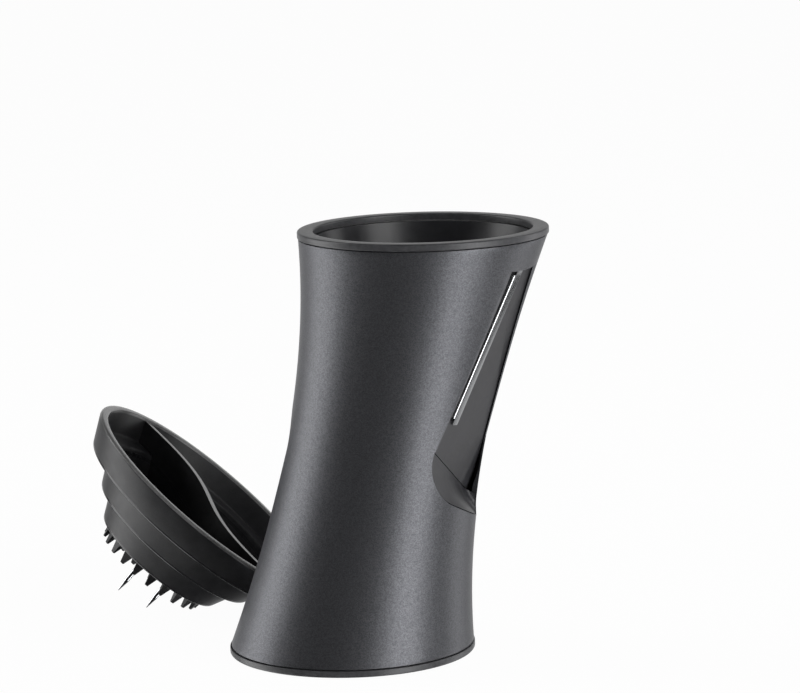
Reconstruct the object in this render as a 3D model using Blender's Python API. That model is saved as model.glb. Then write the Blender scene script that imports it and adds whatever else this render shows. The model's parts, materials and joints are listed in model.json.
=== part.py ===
"""Hand spiral slicer: a leaning hourglass body with a funnel and a slanted blade wall at
each end, and a loose stepped food holder lying beside it.

Metres, +Z up. The slicer stands on its lower rim ring and leans along +X, so the upper ring
overhangs the lower one. Both ends are alike: the lower half is the upper half turned half a
turn about the Y axis at mid height. The holder lies tilted on the counter at the slicer's
left, open side up and to the right. The origin is under the middle of the whole object.
"""
import math

import bmesh
import bpy
from mathutils import Matrix, Vector

# Slicer body
SLICER_HEIGHT = 0.150
RIM_RADIUS = 0.043
RIM_WIDTH = 0.0055
RIM_HEIGHT = 0.0023
RIM_CHAMFER = 0.0005
LEAN = 0.0316
LEAN_CURL = 0.09
WAIST_DRAW_IN = 0.0081
CASING_STEP_IN = 0.0003
CASING_WALL = 0.0016
CASING_EDGE = 0.0004
FIT_GAP = 0.0003

# Funnel insert
FUNNEL_TAPER = 0.30
FUNNEL_WALL = 0.0018
FUNNEL_FLANGE = 0.0013
FLANGE_OVERLAP = 0.0009
FUNNEL_FLOOR = 0.0020
FUNNEL_END_GAP = 0.0013

# Slanted flat side with its window in the casing and the pocket below it. Its slope runs from
# its depth inside the waist to its depth inside the rim's edge
FLAT_WAIST_DEPTH = 0.00686
FLAT_RIM_DEPTH = 0.00067
WINDOW_HALF_WIDTH = 0.0207
WINDOW_OVER_BLADE = 0.0007
WINDOW_BOTTOM = 0.0206
WINDOW_BOTTOM_SLANT = math.radians(19.8)
NEAR_CORNER_RADIUS = 0.016
FAR_CORNER_RADIUS = 0.004
CREASE_DROP = 0.0099
CREASE_SLANT = math.radians(29.0)
SCOOP_WALL = 0.0020
SCOOP_HOLLOW = 0.2
BLADE_WALL_RECESS = 0.0006
BLADE_WALL_THICKNESS = 0.0020
BLADE_WALL_OVER_WINDOW = 0.0020
BLADE_WALL_HALF_WIDTH = 0.027
WINDOW_LIP = 0.0005

# Steel blade and comb
BLADE_LENGTH = 0.0577
BLADE_WIDTH = 0.0068
BLADE_THICKNESS = 0.0005
BLADE_BEND = 0.0022
BLADE_PLUNGE = 0.0036
BLADE_SIDE = 0.0099
BLADE_RISE = 0.0100
BLADE_TILT = math.radians(10.2)
SLOT_NEAR = 0.0024
SLOT_FAR = 0.0024
SLOT_END = 0.0012
COMB_STRIP_WIDTH = 0.0011
COMB_THICKNESS = 0.0005
COMB_TOOTH = 0.0018
COARSE_PITCH = 0.0040
FINE_PITCH = 0.0022

# Food holder, measured down from the plane of its open rim
HOLDER_RIM_RADIUS = 0.0518
HOLDER_RIM_FACE = 0.0035
HOLDER_RIM_CHAMFER = 0.0006
HOLDER_WALL = 0.0028
HOLDER_FLOOR = 0.0025
TIER_DEPTHS = (0.0113, 0.0215, 0.0308)
TIER_TOP_RADII = (HOLDER_RIM_RADIUS, 0.0394, 0.0303)
TIER_BOTTOM_RADII = (0.0464, 0.0343, 0.0259)
WEB_THICKNESS = 0.0024
WEB_BELOW_RIM = 0.0008
WEB_SWAY = 0.0071
WEB_ANGLE = math.radians(137.0)
TOOTH_PLATE_THICKNESS = 0.0015
TOOTH_PLATE_MARGIN = 0.0017
OUTER_TEETH = 22
INNER_TEETH = 11
OUTER_TOOTH_INSET = 0.0027
TOOTH_CIRCLE_SPACING = 0.0070
TOOTH_PHASE = math.radians(12.0)
TOOTH_LENGTH = 0.0050
INNER_TOOTH_SHARE = 0.85
TOOTH_WIDTH = 0.0040
TOOTH_DEPTH = 0.0026
TOOTH_TIP = 0.0008
SPIKES = 3
SPIKE_CIRCLE = 0.0080
SPIKE_RADIUS = 0.0009
SPIKE_LENGTH = 0.0170
SPIKE_POINT = 0.0052
SPIKE_TIP_RADIUS = 0.00012
SPIKE_HEAD_RADIUS = 0.0022
SPIKE_HEAD = 0.0008
SPIKE_ANGLE = math.radians(357.0)
RETAINER_MARGIN = 0.0019
RETAINER_THICKNESS = 0.0012

# How the holder lies: tilted on the counter, up against the casing's side
HOLDER_BEARING = math.radians(158.9)
HOLDER_TILT = math.radians(41.26)
HOLDER_HEADING = math.radians(23.75)
HOLDER_SIDE_GAP = 0.0008

# Fineness of the round forms
CASING_SEGMENTS = 72
CASING_LEVELS = 13
ROUND_SEGMENTS = 60
FUNNEL_SEGMENTS = 48
SMALL_SEGMENTS = 12
CORNER_STEPS = 8
SCOOP_ROWS = 5
WEB_STEPS = 24

MIDDLE = SLICER_HEIGHT / 2
CASING_END = SLICER_HEIGHT - RIM_HEIGHT - FIT_GAP
CASING_END_RADIUS = RIM_RADIUS - CASING_STEP_IN
RING_CENTRE = LEAN / 2
MOUTH_RADIUS = RIM_RADIUS - RIM_WIDTH
WAIST_RADIUS = RIM_RADIUS - WAIST_DRAW_IN
FLAT_DISTANCE = WAIST_RADIUS - FLAT_WAIST_DEPTH
FLAT_ANGLE = math.atan2(RING_CENTRE + RIM_RADIUS - FLAT_RIM_DEPTH - FLAT_DISTANCE, MIDDLE)
WINDOW_TOP = BLADE_RISE + BLADE_LENGTH * math.cos(BLADE_TILT) + WINDOW_OVER_BLADE
BLADE_WALL_TOP = WINDOW_TOP + BLADE_WALL_OVER_WINDOW
BLADE_WALL_BACK = BLADE_WALL_RECESS + BLADE_WALL_THICKNESS
FLANGE_LOW = CASING_END - FUNNEL_FLANGE
TOOTH_PLATE_RADIUS = TIER_BOTTOM_RADII[2] - TOOTH_PLATE_MARGIN
OUTER_TOOTH_CIRCLE = TOOTH_PLATE_RADIUS - OUTER_TOOTH_INSET
INNER_TOOTH_CIRCLE = OUTER_TOOTH_CIRCLE - TOOTH_CIRCLE_SPACING
RETAINER_RADIUS = SPIKE_CIRCLE + SPIKE_HEAD_RADIUS + RETAINER_MARGIN


def clear_scene():
    for old in list(bpy.data.objects):
        bpy.data.objects.remove(old, do_unlink=True)


def material(name, colour, roughness, metallic):
    mat = bpy.data.materials.new(name)
    mat.use_nodes = True
    shader = mat.node_tree.nodes["Principled BSDF"]
    shader.inputs["Base Color"].default_value = (*colour, 1.0)
    shader.inputs["Roughness"].default_value = roughness
    shader.inputs["Metallic"].default_value = metallic
    return mat


def empty(name, parent=None):
    frame = bpy.data.objects.new(name, None)
    bpy.context.collection.objects.link(frame)
    frame.parent = parent
    return frame


def make_object(name, bm, parent, mat=None, smooth=math.radians(30)):
    """A named object from a bmesh, in its parent's frame, with its faces pointing out."""
    bmesh.ops.recalc_face_normals(bm, faces=bm.faces[:])
    mesh = bpy.data.meshes.new(name)
    bm.to_mesh(mesh)
    bm.free()
    mesh.shade_smooth()
    mesh.set_sharp_from_angle(angle=smooth)
    piece = bpy.data.objects.new(name, mesh)
    bpy.context.collection.objects.link(piece)
    piece.parent = parent
    if mat:
        mesh.materials.append(mat)
    return piece


def cutter(name, bm, parent):
    piece = make_object(name, bm, parent)
    piece.hide_render = True
    piece.display_type = "WIRE"
    return piece


def boolean(piece, other, operation="DIFFERENCE"):
    step = piece.modifiers.new(other.name, "BOOLEAN")
    step.object = other
    step.operation = operation
    step.solver = "EXACT"


def add_loft(bm, rings, closed):
    """Bands of faces between rings of equal length, with flat caps unless they close on themselves."""
    loops = [[bm.verts.new(point) for point in ring] for ring in rings]
    pairs = list(zip(loops, loops[1:]))
    if closed:
        pairs.append((loops[-1], loops[0]))
    for low, high in pairs:
        count = len(low)
        for i in range(count):
            j = (i + 1) % count
            bm.faces.new((low[i], low[j], high[j], high[i]))
    if not closed:
        bm.faces.new(list(reversed(loops[0])))
        bm.faces.new(loops[-1])


def circle(centre, radius, height, segments):
    turn = 2 * math.pi / segments
    return [Vector((centre[0] + radius * math.cos(turn * i), centre[1] + radius * math.sin(turn * i), height))
            for i in range(segments)]


def add_turned(bm, profile, segments, centre=(0.0, 0.0)):
    """A solid turned about a vertical axis from a closed outline of (radius, height) points.
    Points on the axis become single vertices."""
    loops = []
    for radius, height in profile:
        if radius < 1e-7:
            loops.append([bm.verts.new((centre[0], centre[1], height))])
        else:
            loops.append([bm.verts.new(point) for point in circle(centre, radius, height, segments)])
    for low, high in zip(loops, loops[1:] + loops[:1]):
        if len(low) == 1 and len(high) == 1:
            continue
        for i in range(segments):
            j = (i + 1) % segments
            if len(low) == 1:
                bm.faces.new((low[0], high[j], high[i]))
            elif len(high) == 1:
                bm.faces.new((low[i], low[j], high[0]))
            else:
                bm.faces.new((low[i], low[j], high[j], high[i]))


def add_prism(bm, outline, low, high, frame=Matrix()):
    """A straight prism on a flat outline between two heights of a frame."""
    rings = [[frame @ Vector((x, y, level)) for x, y in outline] for level in (low, high)]
    add_loft(bm, rings, closed=False)


def box_outline(x_low, x_high, y_low, y_high):
    return [(x_low, y_low), (x_high, y_low), (x_high, y_high), (x_low, y_high)]


# Waisted, leaning body: a stack of circles


def along(height):
    """Place between the casing's ends: -1 at the lower end, 1 at the upper."""
    return (height - MIDDLE) / (MIDDLE - RIM_HEIGHT)


def casing_radius(height):
    return WAIST_RADIUS + (CASING_END_RADIUS - WAIST_RADIUS) * along(height) ** 2


def casing_centre(height):
    part = along(height)
    return RING_CENTRE * ((1 + LEAN_CURL) * part - LEAN_CURL * part ** 3)


def waisted_ring(height, inset, segments=CASING_SEGMENTS):
    return circle((casing_centre(height), 0.0), casing_radius(height) - inset, height, segments)


def waisted_levels(low, high):
    return [low + (high - low) * i / (CASING_LEVELS - 1) for i in range(CASING_LEVELS)]


def waisted_solid(name, inset, parent, top=CASING_END):
    """A solid of the casing's outer form, drawn in by an inset, that shapes the inserts' edges."""
    bm = bmesh.new()
    levels = waisted_levels(SLICER_HEIGHT - CASING_END, top)
    add_loft(bm, [waisted_ring(height, inset) for height in levels], closed=False)
    return cutter(name, bm, parent)


def make_casing(parent, mat):
    """The one-piece sleeve: a thin wall between the rims, stepped at both ends for the flanges."""
    low_end = SLICER_HEIGHT - CASING_END
    seat_radius = casing_radius(FLANGE_LOW - FIT_GAP) - CASING_WALL + FLANGE_OVERLAP + FIT_GAP
    seat_depth = FUNNEL_FLANGE + FIT_GAP
    outside = [waisted_ring(height, 0.0)
               for height in waisted_levels(low_end + CASING_EDGE, CASING_END - CASING_EDGE)]
    inside = [waisted_ring(height, CASING_WALL)
              for height in waisted_levels(low_end + seat_depth, CASING_END - seat_depth)]
    upper_seat = [circle((RING_CENTRE, 0.0), seat_radius, height, CASING_SEGMENTS)
                  for height in (CASING_END, CASING_END - seat_depth)]
    lower_seat = [circle((-RING_CENTRE, 0.0), seat_radius, height, CASING_SEGMENTS)
                  for height in (low_end + seat_depth, low_end)]
    rings = [waisted_ring(low_end, CASING_EDGE)] + outside + [waisted_ring(CASING_END, CASING_EDGE)]
    rings += upper_seat + inside[::-1] + lower_seat
    bm = bmesh.new()
    add_loft(bm, rings, closed=True)
    return make_object("casing", bm, parent, mat), seat_radius - FIT_GAP


# The slanted flat: x runs across it, y up its slope, z out of the slicer; its origin is at mid height


def flat_frame():
    across = Vector((0.0, 1.0, 0.0))
    up = Vector((math.sin(FLAT_ANGLE), 0.0, math.cos(FLAT_ANGLE)))
    out = across.cross(up)
    frame = Matrix((across, up, out)).transposed().to_4x4()
    frame.translation = Vector((FLAT_DISTANCE, 0.0, MIDDLE))
    return frame


def crease_height(across):
    return -CREASE_DROP - across * math.tan(CREASE_SLANT)


def corner(point, before, after, radius, room):
    """A rounded corner at a point, between the unit directions of arriving and leaving. It starts
    no further from the point than the room before it."""
    turn = before.angle(after)
    radius = min(radius, room / math.tan(turn / 2))
    reach = radius * math.tan(turn / 2)
    start = point - before * reach
    side = (after - before * before.dot(after)).normalized()
    centre = start + side * radius
    points = []
    for i in range(CORNER_STEPS + 1):
        angle = turn * i / CORNER_STEPS
        points.append(centre - side * radius * math.cos(angle) + before * radius * math.sin(angle))
    return points


def window_bottom(inset):
    """The window's edge below the crease, from the near side round both corners to the far side."""
    half = WINDOW_HALF_WIDTH - inset
    slant = Vector((math.cos(WINDOW_BOTTOM_SLANT), -math.sin(WINDOW_BOTTOM_SLANT)))
    raised = WINDOW_BOTTOM - inset / math.cos(WINDOW_BOTTOM_SLANT)
    down = Vector((0.0, -1.0))
    near = Vector((-half, -raised + half * math.tan(WINDOW_BOTTOM_SLANT)))
    far = Vector((half, -raised - half * math.tan(WINDOW_BOTTOM_SLANT)))
    start = Vector((-half, crease_height(-half)))
    end = Vector((half, crease_height(half)))
    points = [start]
    points += corner(near, down, slant, NEAR_CORNER_RADIUS - inset, start.y - near.y - FIT_GAP)
    points += corner(far, slant, -down, FAR_CORNER_RADIUS - inset, end.y - far.y - FIT_GAP)
    points.append(end)
    return points


def surface_out(across, up, inset, frame):
    """How far out of the flat the casing's form, drawn in by an inset, lies at a place on the flat."""
    low, high = -0.02, 0.03
    for _ in range(40):
        middle = (low + high) / 2
        place = frame @ Vector((across, up, middle))
        reach = math.hypot(place.x - casing_centre(place.z), place.y)
        if reach < casing_radius(place.z) - inset:
            low = middle
        else:
            high = middle
    return low


def even_points(points, count):
    """Points at even steps along a chain."""
    lengths = [0.0]
    for first, second in zip(points, points[1:]):
        lengths.append(lengths[-1] + (second - first).length)
    result = []
    place = 0
    for i in range(count):
        target = lengths[-1] * i / (count - 1)
        while place < len(points) - 2 and lengths[place + 1] < target:
            place += 1
        span = max(lengths[place + 1] - lengths[place], 1e-9)
        result.append(points[place].lerp(points[place + 1], (target - lengths[place]) / span))
    return result


def make_window_cutters(side, parent, frame):
    """What the casing loses: everything outside the flat, the pocket's edge, and the blade wall's seat."""
    outline = window_bottom(0.0)
    outline += [Vector((WINDOW_HALF_WIDTH, WINDOW_TOP)), Vector((-WINDOW_HALF_WIDTH, WINDOW_TOP))]
    bm = bmesh.new()
    add_prism(bm, outline, 0.0, 2 * WINDOW_HALF_WIDTH, frame)
    window = cutter(side + "_window_cut", bm, parent)
    bm = bmesh.new()
    back = BLADE_WALL_BACK + FIT_GAP + CASING_WALL
    add_prism(bm, window_bottom(FIT_GAP / 3), -back, FIT_GAP, frame)
    pocket = cutter(side + "_pocket_cut", bm, parent)
    bm = bmesh.new()
    seat = blade_wall_outline(FIT_GAP)
    add_prism(bm, seat, -BLADE_WALL_BACK - FIT_GAP, CASING_WALL, frame)
    rebate = cutter(side + "_seat_cut", bm, parent)
    boolean(rebate, waisted_solid(side + "_lip_form", WINDOW_LIP, parent), "INTERSECT")
    return [window, pocket, rebate]


def blade_wall_outline(grown):
    half = BLADE_WALL_HALF_WIDTH + grown
    rise = FIT_GAP / 2 - grown
    return [(-half, crease_height(-half) + rise), (half, crease_height(half) + rise),
            (half, BLADE_WALL_TOP + grown), (-half, BLADE_WALL_TOP + grown)]


def blade_frame(frame):
    """On the flat: x across the blade towards its far edge, y along the blade, z out."""
    return frame @ Matrix.Translation((-BLADE_SIDE, BLADE_RISE, 0.0)) @ Matrix.Rotation(-BLADE_TILT, 4, "Z")


def make_blade_wall(side, parent, frame, mat):
    """The flat wall between funnel and window, with the slot that the strips come out of."""
    bm = bmesh.new()
    add_prism(bm, blade_wall_outline(0.0), -BLADE_WALL_BACK, -BLADE_WALL_RECESS, frame)
    wall = make_object(side + "_blade_wall", bm, parent, mat)
    form = waisted_solid(side + "_wall_form", WINDOW_LIP + FIT_GAP, parent, FLANGE_LOW - FIT_GAP)
    boolean(wall, form, "INTERSECT")
    bm = bmesh.new()
    slot = box_outline(-BLADE_WIDTH - SLOT_NEAR, -BLADE_WIDTH + SLOT_FAR, SLOT_END, BLADE_LENGTH - SLOT_END)
    add_prism(bm, slot, -2 * BLADE_WALL_BACK, BLADE_WALL_BACK, blade_frame(frame))
    boolean(wall, cutter(side + "_slot_cut", bm, parent))
    return wall


def make_scoop(side, parent, frame, mat):
    """The hollow below the crease that turns the strips out: a curved floor from the crease, on the
    blade wall's face, out to the window's rounded edge."""
    columns = 2 * (CORNER_STEPS + 2) + 1
    edge = even_points(window_bottom(FIT_GAP / 3 + FIT_GAP), columns)
    inset = WINDOW_LIP
    reach = WINDOW_HALF_WIDTH - 2 * FIT_GAP - SCOOP_WALL / 2
    faces = []
    for i, rim in enumerate(edge):
        across = -reach + 2 * reach * i / (columns - 1)
        start = Vector((across, crease_height(across) - FIT_GAP / 2, -BLADE_WALL_RECESS))
        end = Vector((rim.x, rim.y - FIT_GAP / 2, surface_out(rim.x, rim.y, inset, frame)))
        bend = start.lerp(end, 0.5)
        bend.z = start.z + SCOOP_HOLLOW * (end.z - start.z)
        column = []
        for j in range(SCOOP_ROWS + 1):
            t = j / SCOOP_ROWS
            column.append(start * (1 - t) ** 2 + bend * 2 * t * (1 - t) + end * t ** 2)
        faces.append(column)
    bm = bmesh.new()
    depth = Vector((0.0, 0.0, SCOOP_WALL))
    grids = []
    for shift in (Vector(), depth):
        grids.append([[bm.verts.new(frame @ (point - shift)) for point in column] for column in faces])
    for grid, flip in zip(grids, (False, True)):
        for i in range(columns - 1):
            for j in range(SCOOP_ROWS):
                quad = (grid[i][j], grid[i + 1][j], grid[i + 1][j + 1], grid[i][j + 1])
                bm.faces.new(quad[::-1] if flip else quad)
    border = [(i, 0) for i in range(columns)] + [(columns - 1, j) for j in range(1, SCOOP_ROWS + 1)]
    border += [(i, SCOOP_ROWS) for i in range(columns - 2, -1, -1)]
    border += [(0, j) for j in range(SCOOP_ROWS - 1, 0, -1)]
    for (i, j), (k, m) in zip(border, border[1:] + border[:1]):
        bm.faces.new((grids[0][i][j], grids[1][i][j], grids[1][k][m], grids[0][k][m]))
    return make_object(side + "_scoop", bm, parent, mat)


def make_funnel(side, parent, frame, flange_radius, mat):
    """A closed cone under the mouth, cut off by the slanted blade wall and relieved at its slot."""
    bottom = MIDDLE + FUNNEL_END_GAP
    floor = bottom + FUNNEL_FLOOR

    def inner(height):
        return MOUTH_RADIUS - FUNNEL_TAPER * (SLICER_HEIGHT - height)

    profile = [(inner(CASING_END), CASING_END), (inner(floor), floor), (0.0, floor), (0.0, bottom),
               (inner(bottom) + FUNNEL_WALL, bottom), (inner(FLANGE_LOW) + FUNNEL_WALL, FLANGE_LOW),
               (flange_radius, FLANGE_LOW), (flange_radius, CASING_END)]
    bm = bmesh.new()
    add_turned(bm, profile, FUNNEL_SEGMENTS, (RING_CENTRE, 0.0))
    funnel = make_object(side + "_funnel", bm, parent, mat)
    bm = bmesh.new()
    cut_top = (FLANGE_LOW - FIT_GAP - MIDDLE) / math.cos(FLAT_ANGLE)
    outside = box_outline(-2 * RIM_RADIUS, 2 * RIM_RADIUS, -SLICER_HEIGHT, cut_top)
    add_prism(bm, outside, -BLADE_WALL_BACK - FIT_GAP, SLICER_HEIGHT, frame)
    boolean(funnel, cutter(side + "_funnel_flat_cut", bm, parent))
    bm = bmesh.new()
    near = -BLADE_WIDTH - SLOT_NEAR - COMB_STRIP_WIDTH - 2 * FIT_GAP
    relief = box_outline(near, -BLADE_WIDTH + SLOT_FAR, -2 * FIT_GAP, BLADE_LENGTH + 2 * FIT_GAP)
    depth = BLADE_WALL_BACK + COMB_THICKNESS + FUNNEL_WALL + 3 * FIT_GAP
    add_prism(bm, relief, -depth, 0.0, blade_frame(frame))
    boolean(funnel, cutter(side + "_funnel_relief_cut", bm, parent))
    return funnel


def make_blade(side, parent, frame, mat):
    """A steel strip on the blade wall, bent down through the slot to its ground cutting edge."""
    top = BLADE_THICKNESS + FIT_GAP - BLADE_WALL_RECESS
    low = FIT_GAP - BLADE_WALL_RECESS
    bend = -BLADE_WIDTH + BLADE_BEND
    section = [(0.0, low), (0.0, top), (bend, top), (-BLADE_WIDTH, -BLADE_PLUNGE),
               (bend + BLADE_THICKNESS / 2, low)]
    bm = bmesh.new()
    place = blade_frame(frame)
    rings = [[place @ Vector((x, along_blade, z)) for x, z in section]
             for along_blade in (2 * SLOT_END, BLADE_LENGTH - 2 * SLOT_END)]
    add_loft(bm, rings, closed=False)
    flat = [[place @ Vector((x, along_blade, z)) for x, z in
             ((0.0, low), (0.0, top), (bend, top), (bend + BLADE_THICKNESS / 2, low))]
            for along_blade in (0.0, BLADE_LENGTH)]
    blade = make_object(side + "_blade", bm, parent, mat, smooth=math.radians(10))
    bm = bmesh.new()
    add_loft(bm, flat, closed=False)
    boolean(blade, cutter(side + "_blade_ends", bm, parent), "UNION")
    return blade


def make_comb(side, parent, frame, pitch, mat):
    """A steel comb behind the slot's near side, whose teeth split the slice into strips."""
    place = blade_frame(frame)
    root = -BLADE_WIDTH - SLOT_NEAR + FIT_GAP
    back = root - COMB_STRIP_WIDTH
    tip = root + COMB_TOOTH
    usable = BLADE_LENGTH - 4 * SLOT_END
    count = int(usable / pitch)
    start = (BLADE_LENGTH - count * pitch) / 2
    outline = [(back, start), (root, start)]
    for i in range(count):
        outline += [(tip, start + pitch * (i + 0.5)), (root, start + pitch * (i + 1))]
    outline.append((back, start + count * pitch))
    high = -BLADE_WALL_BACK - FIT_GAP
    bm = bmesh.new()
    add_prism(bm, outline, high - COMB_THICKNESS, high, place)
    return make_object(side + "_strip_comb", bm, parent, mat, smooth=math.radians(10))


def make_ring(side, parent, mat):
    """The rim ring that closes the end and is the foot when that end is down."""
    low = SLICER_HEIGHT - RIM_HEIGHT
    top = SLICER_HEIGHT
    profile = [(MOUTH_RADIUS, low), (RIM_RADIUS - RIM_CHAMFER, low), (RIM_RADIUS, low + RIM_CHAMFER),
               (RIM_RADIUS, top - RIM_CHAMFER), (RIM_RADIUS - RIM_CHAMFER, top),
               (MOUTH_RADIUS + RIM_CHAMFER, top), (MOUTH_RADIUS, top - RIM_CHAMFER)]
    bm = bmesh.new()
    add_turned(bm, profile, CASING_SEGMENTS, (RING_CENTRE, 0.0))
    return make_object(side + "_rim_ring", bm, parent, mat)


def make_end(side, parent, flange_radius, pitch, mats):
    """Everything at one end of the slicer. Returns what the casing is cut with."""
    frame = flat_frame()
    make_ring(side, parent, mats["rim"])
    make_funnel(side, parent, frame, flange_radius, mats["insert"])
    make_blade_wall(side, parent, frame, mats["insert"])
    make_scoop(side, parent, frame, mats["insert"])
    make_blade(side, parent, frame, mats["steel"])
    make_comb(side, parent, frame, pitch, mats["steel"])
    return make_window_cutters(side, parent, frame)


def make_slicer(parent, mats):
    casing, flange_radius = make_casing(parent, mats["casing"])
    upper = empty("upper_end", parent)
    lower = empty("lower_end", parent)
    lower.matrix_local = Matrix.Translation((0.0, 0.0, SLICER_HEIGHT)) @ Matrix.Rotation(math.pi, 4, "Y")
    for side, frame, pitch in (("upper", upper, COARSE_PITCH), ("lower", lower, FINE_PITCH)):
        for cut in make_end(side, frame, flange_radius, pitch, mats):
            boolean(casing, cut)


# Food holder, in its own frame: its axis is z, its rim is at z = 0, its teeth point to -z


def tier_radius(tier, height):
    """Outer radius of a tier's cone, also above its own top."""
    tops = (0.0,) + TIER_DEPTHS[:-1]
    share = (-height - tops[tier]) / (TIER_DEPTHS[tier] - tops[tier])
    return TIER_TOP_RADII[tier] + (TIER_BOTTOM_RADII[tier] - TIER_TOP_RADII[tier]) * share


FLOOR_LOW = -TIER_DEPTHS[2] + TOOTH_PLATE_THICKNESS + FIT_GAP
FLOOR_TOP = FLOOR_LOW + HOLDER_FLOOR
HEAD_LOW = FLOOR_TOP + FIT_GAP
RETAINER_LOW = HEAD_LOW + SPIKE_HEAD + FIT_GAP
RETAINER_TOP = RETAINER_LOW + RETAINER_THICKNESS


def hollow_profile(shrink):
    """The holder's stepped inside from its floor up to its rim, drawn in by a gap."""
    ledges = [-depth + HOLDER_FLOOR for depth in TIER_DEPTHS[:2]]
    inner = HOLDER_WALL + shrink
    points = [(tier_radius(2, FLOOR_TOP) - inner, FLOOR_TOP + shrink)]
    for tier in (2, 1):
        height = ledges[tier - 1] + shrink
        points.append((tier_radius(tier, height) - inner, height))
        points.append((tier_radius(tier - 1, height) - inner, height))
    points.append((HOLDER_RIM_RADIUS - HOLDER_RIM_FACE - shrink, 0.0))
    return points


def make_holder_shell(parent, spike_holes, mat):
    """Stepped cup: three tapered tiers, with a round seat for the tooth plate underneath."""
    seat = TOOTH_PLATE_RADIUS + FIT_GAP
    profile = [(HOLDER_RIM_RADIUS - HOLDER_RIM_CHAMFER, 0.0), (HOLDER_RIM_RADIUS, -HOLDER_RIM_CHAMFER)]
    profile += [(TIER_BOTTOM_RADII[0], -TIER_DEPTHS[0])]
    for tier in (1, 2):
        profile.append((TIER_TOP_RADII[tier], -TIER_DEPTHS[tier - 1]))
        profile.append((TIER_BOTTOM_RADII[tier], -TIER_DEPTHS[tier]))
    profile += [(seat, -TIER_DEPTHS[2]), (seat, FLOOR_LOW), (0.0, FLOOR_LOW), (0.0, FLOOR_TOP)]
    bm = bmesh.new()
    add_turned(bm, profile + hollow_profile(0.0), ROUND_SEGMENTS)
    shell = make_object("holder_shell", bm, parent, mat)
    boolean(shell, spike_holes)
    return shell


def make_grip_web(parent, mat):
    """The S-shaped wall across the cup that the fingers turn the holder by."""
    reach = HOLDER_RIM_RADIUS
    chord = Vector((math.cos(WEB_ANGLE), math.sin(WEB_ANGLE)))
    side = Vector((-chord.y, chord.x))
    half = HOLDER_RIM_RADIUS - HOLDER_RIM_FACE
    left = []
    right = []
    for i in range(WEB_STEPS + 1):
        place = -reach + 2 * reach * i / WEB_STEPS
        phase = math.pi * place / half
        middle = chord * place - side * WEB_SWAY * math.sin(phase)
        slope = -WEB_SWAY * math.pi / half * math.cos(phase)
        across = (side - chord * slope).normalized() * WEB_THICKNESS / 2
        left.append(middle + across)
        right.append(middle - across)
    bm = bmesh.new()
    add_prism(bm, right + left[::-1], 2 * FLOOR_LOW, -WEB_BELOW_RIM)
    web = make_object("holder_grip_web", bm, parent, mat)
    fill = [(0.0, FLOOR_TOP + FIT_GAP)] + hollow_profile(FIT_GAP) + [(0.0, 0.0)]
    bm = bmesh.new()
    add_turned(bm, fill, ROUND_SEGMENTS)
    boolean(web, cutter("holder_hollow_form", bm, parent), "INTERSECT")
    bm = bmesh.new()
    clear = RETAINER_RADIUS + 2 * FIT_GAP
    add_turned(bm, [(0.0, 2 * FLOOR_LOW), (clear, 2 * FLOOR_LOW), (clear, RETAINER_TOP + FIT_GAP),
                    (0.0, RETAINER_TOP + FIT_GAP)], 2 * SMALL_SEGMENTS)
    boolean(web, cutter("retainer_room_cut", bm, parent))
    return web


def spike_places():
    step = 2 * math.pi / SPIKES
    return [(SPIKE_CIRCLE * math.cos(SPIKE_ANGLE + step * i), SPIKE_CIRCLE * math.sin(SPIKE_ANGLE + step * i))
            for i in range(SPIKES)]


def add_tooth(bm, circle_radius, angle, length):
    """A blunt four-sided tooth whose root runs a little into the plate."""
    root = -TIER_DEPTHS[2] + TOOTH_PLATE_THICKNESS / 2
    tip = -TIER_DEPTHS[2] - length
    turn = Matrix.Rotation(angle, 4, "Z")
    rings = []
    for height, across, deep in ((tip, TOOTH_TIP, TOOTH_TIP), (root, TOOTH_WIDTH, TOOTH_DEPTH)):
        ring = box_outline(-deep / 2, deep / 2, -across / 2, across / 2)
        rings.append([turn @ Vector((circle_radius + x, y, height)) for x, y in ring])
    add_loft(bm, rings, closed=False)


def make_tooth_plate(parent, spike_holes, mat):
    """The round plate let into the underside, with two circles of moulded teeth."""
    low = -TIER_DEPTHS[2]
    top = low + TOOTH_PLATE_THICKNESS
    outline = [(0.0, low), (TOOTH_PLATE_RADIUS, low), (TOOTH_PLATE_RADIUS, top), (0.0, top)]
    bm = bmesh.new()
    add_turned(bm, outline, ROUND_SEGMENTS)
    plate = make_object("holder_tooth_plate", bm, parent, mat, smooth=math.radians(20))
    bm = bmesh.new()
    for count, radius, length in ((OUTER_TEETH, OUTER_TOOTH_CIRCLE, TOOTH_LENGTH),
                                  (INNER_TEETH, INNER_TOOTH_CIRCLE, TOOTH_LENGTH * INNER_TOOTH_SHARE)):
        for i in range(count):
            add_tooth(bm, radius, TOOTH_PHASE + 2 * math.pi * i / count, length)
    boolean(plate, cutter("tooth_forms", bm, parent), "UNION")
    boolean(plate, spike_holes)
    return plate


def make_spike_holes(parent):
    bm = bmesh.new()
    hole = SPIKE_RADIUS + FIT_GAP
    for place in spike_places():
        outline = [(0.0, 2 * FLOOR_LOW), (hole, 2 * FLOOR_LOW), (hole, 0.0), (0.0, 0.0)]
        add_turned(bm, outline, SMALL_SEGMENTS, place)
    return cutter("spike_hole_cut", bm, parent)


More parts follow.
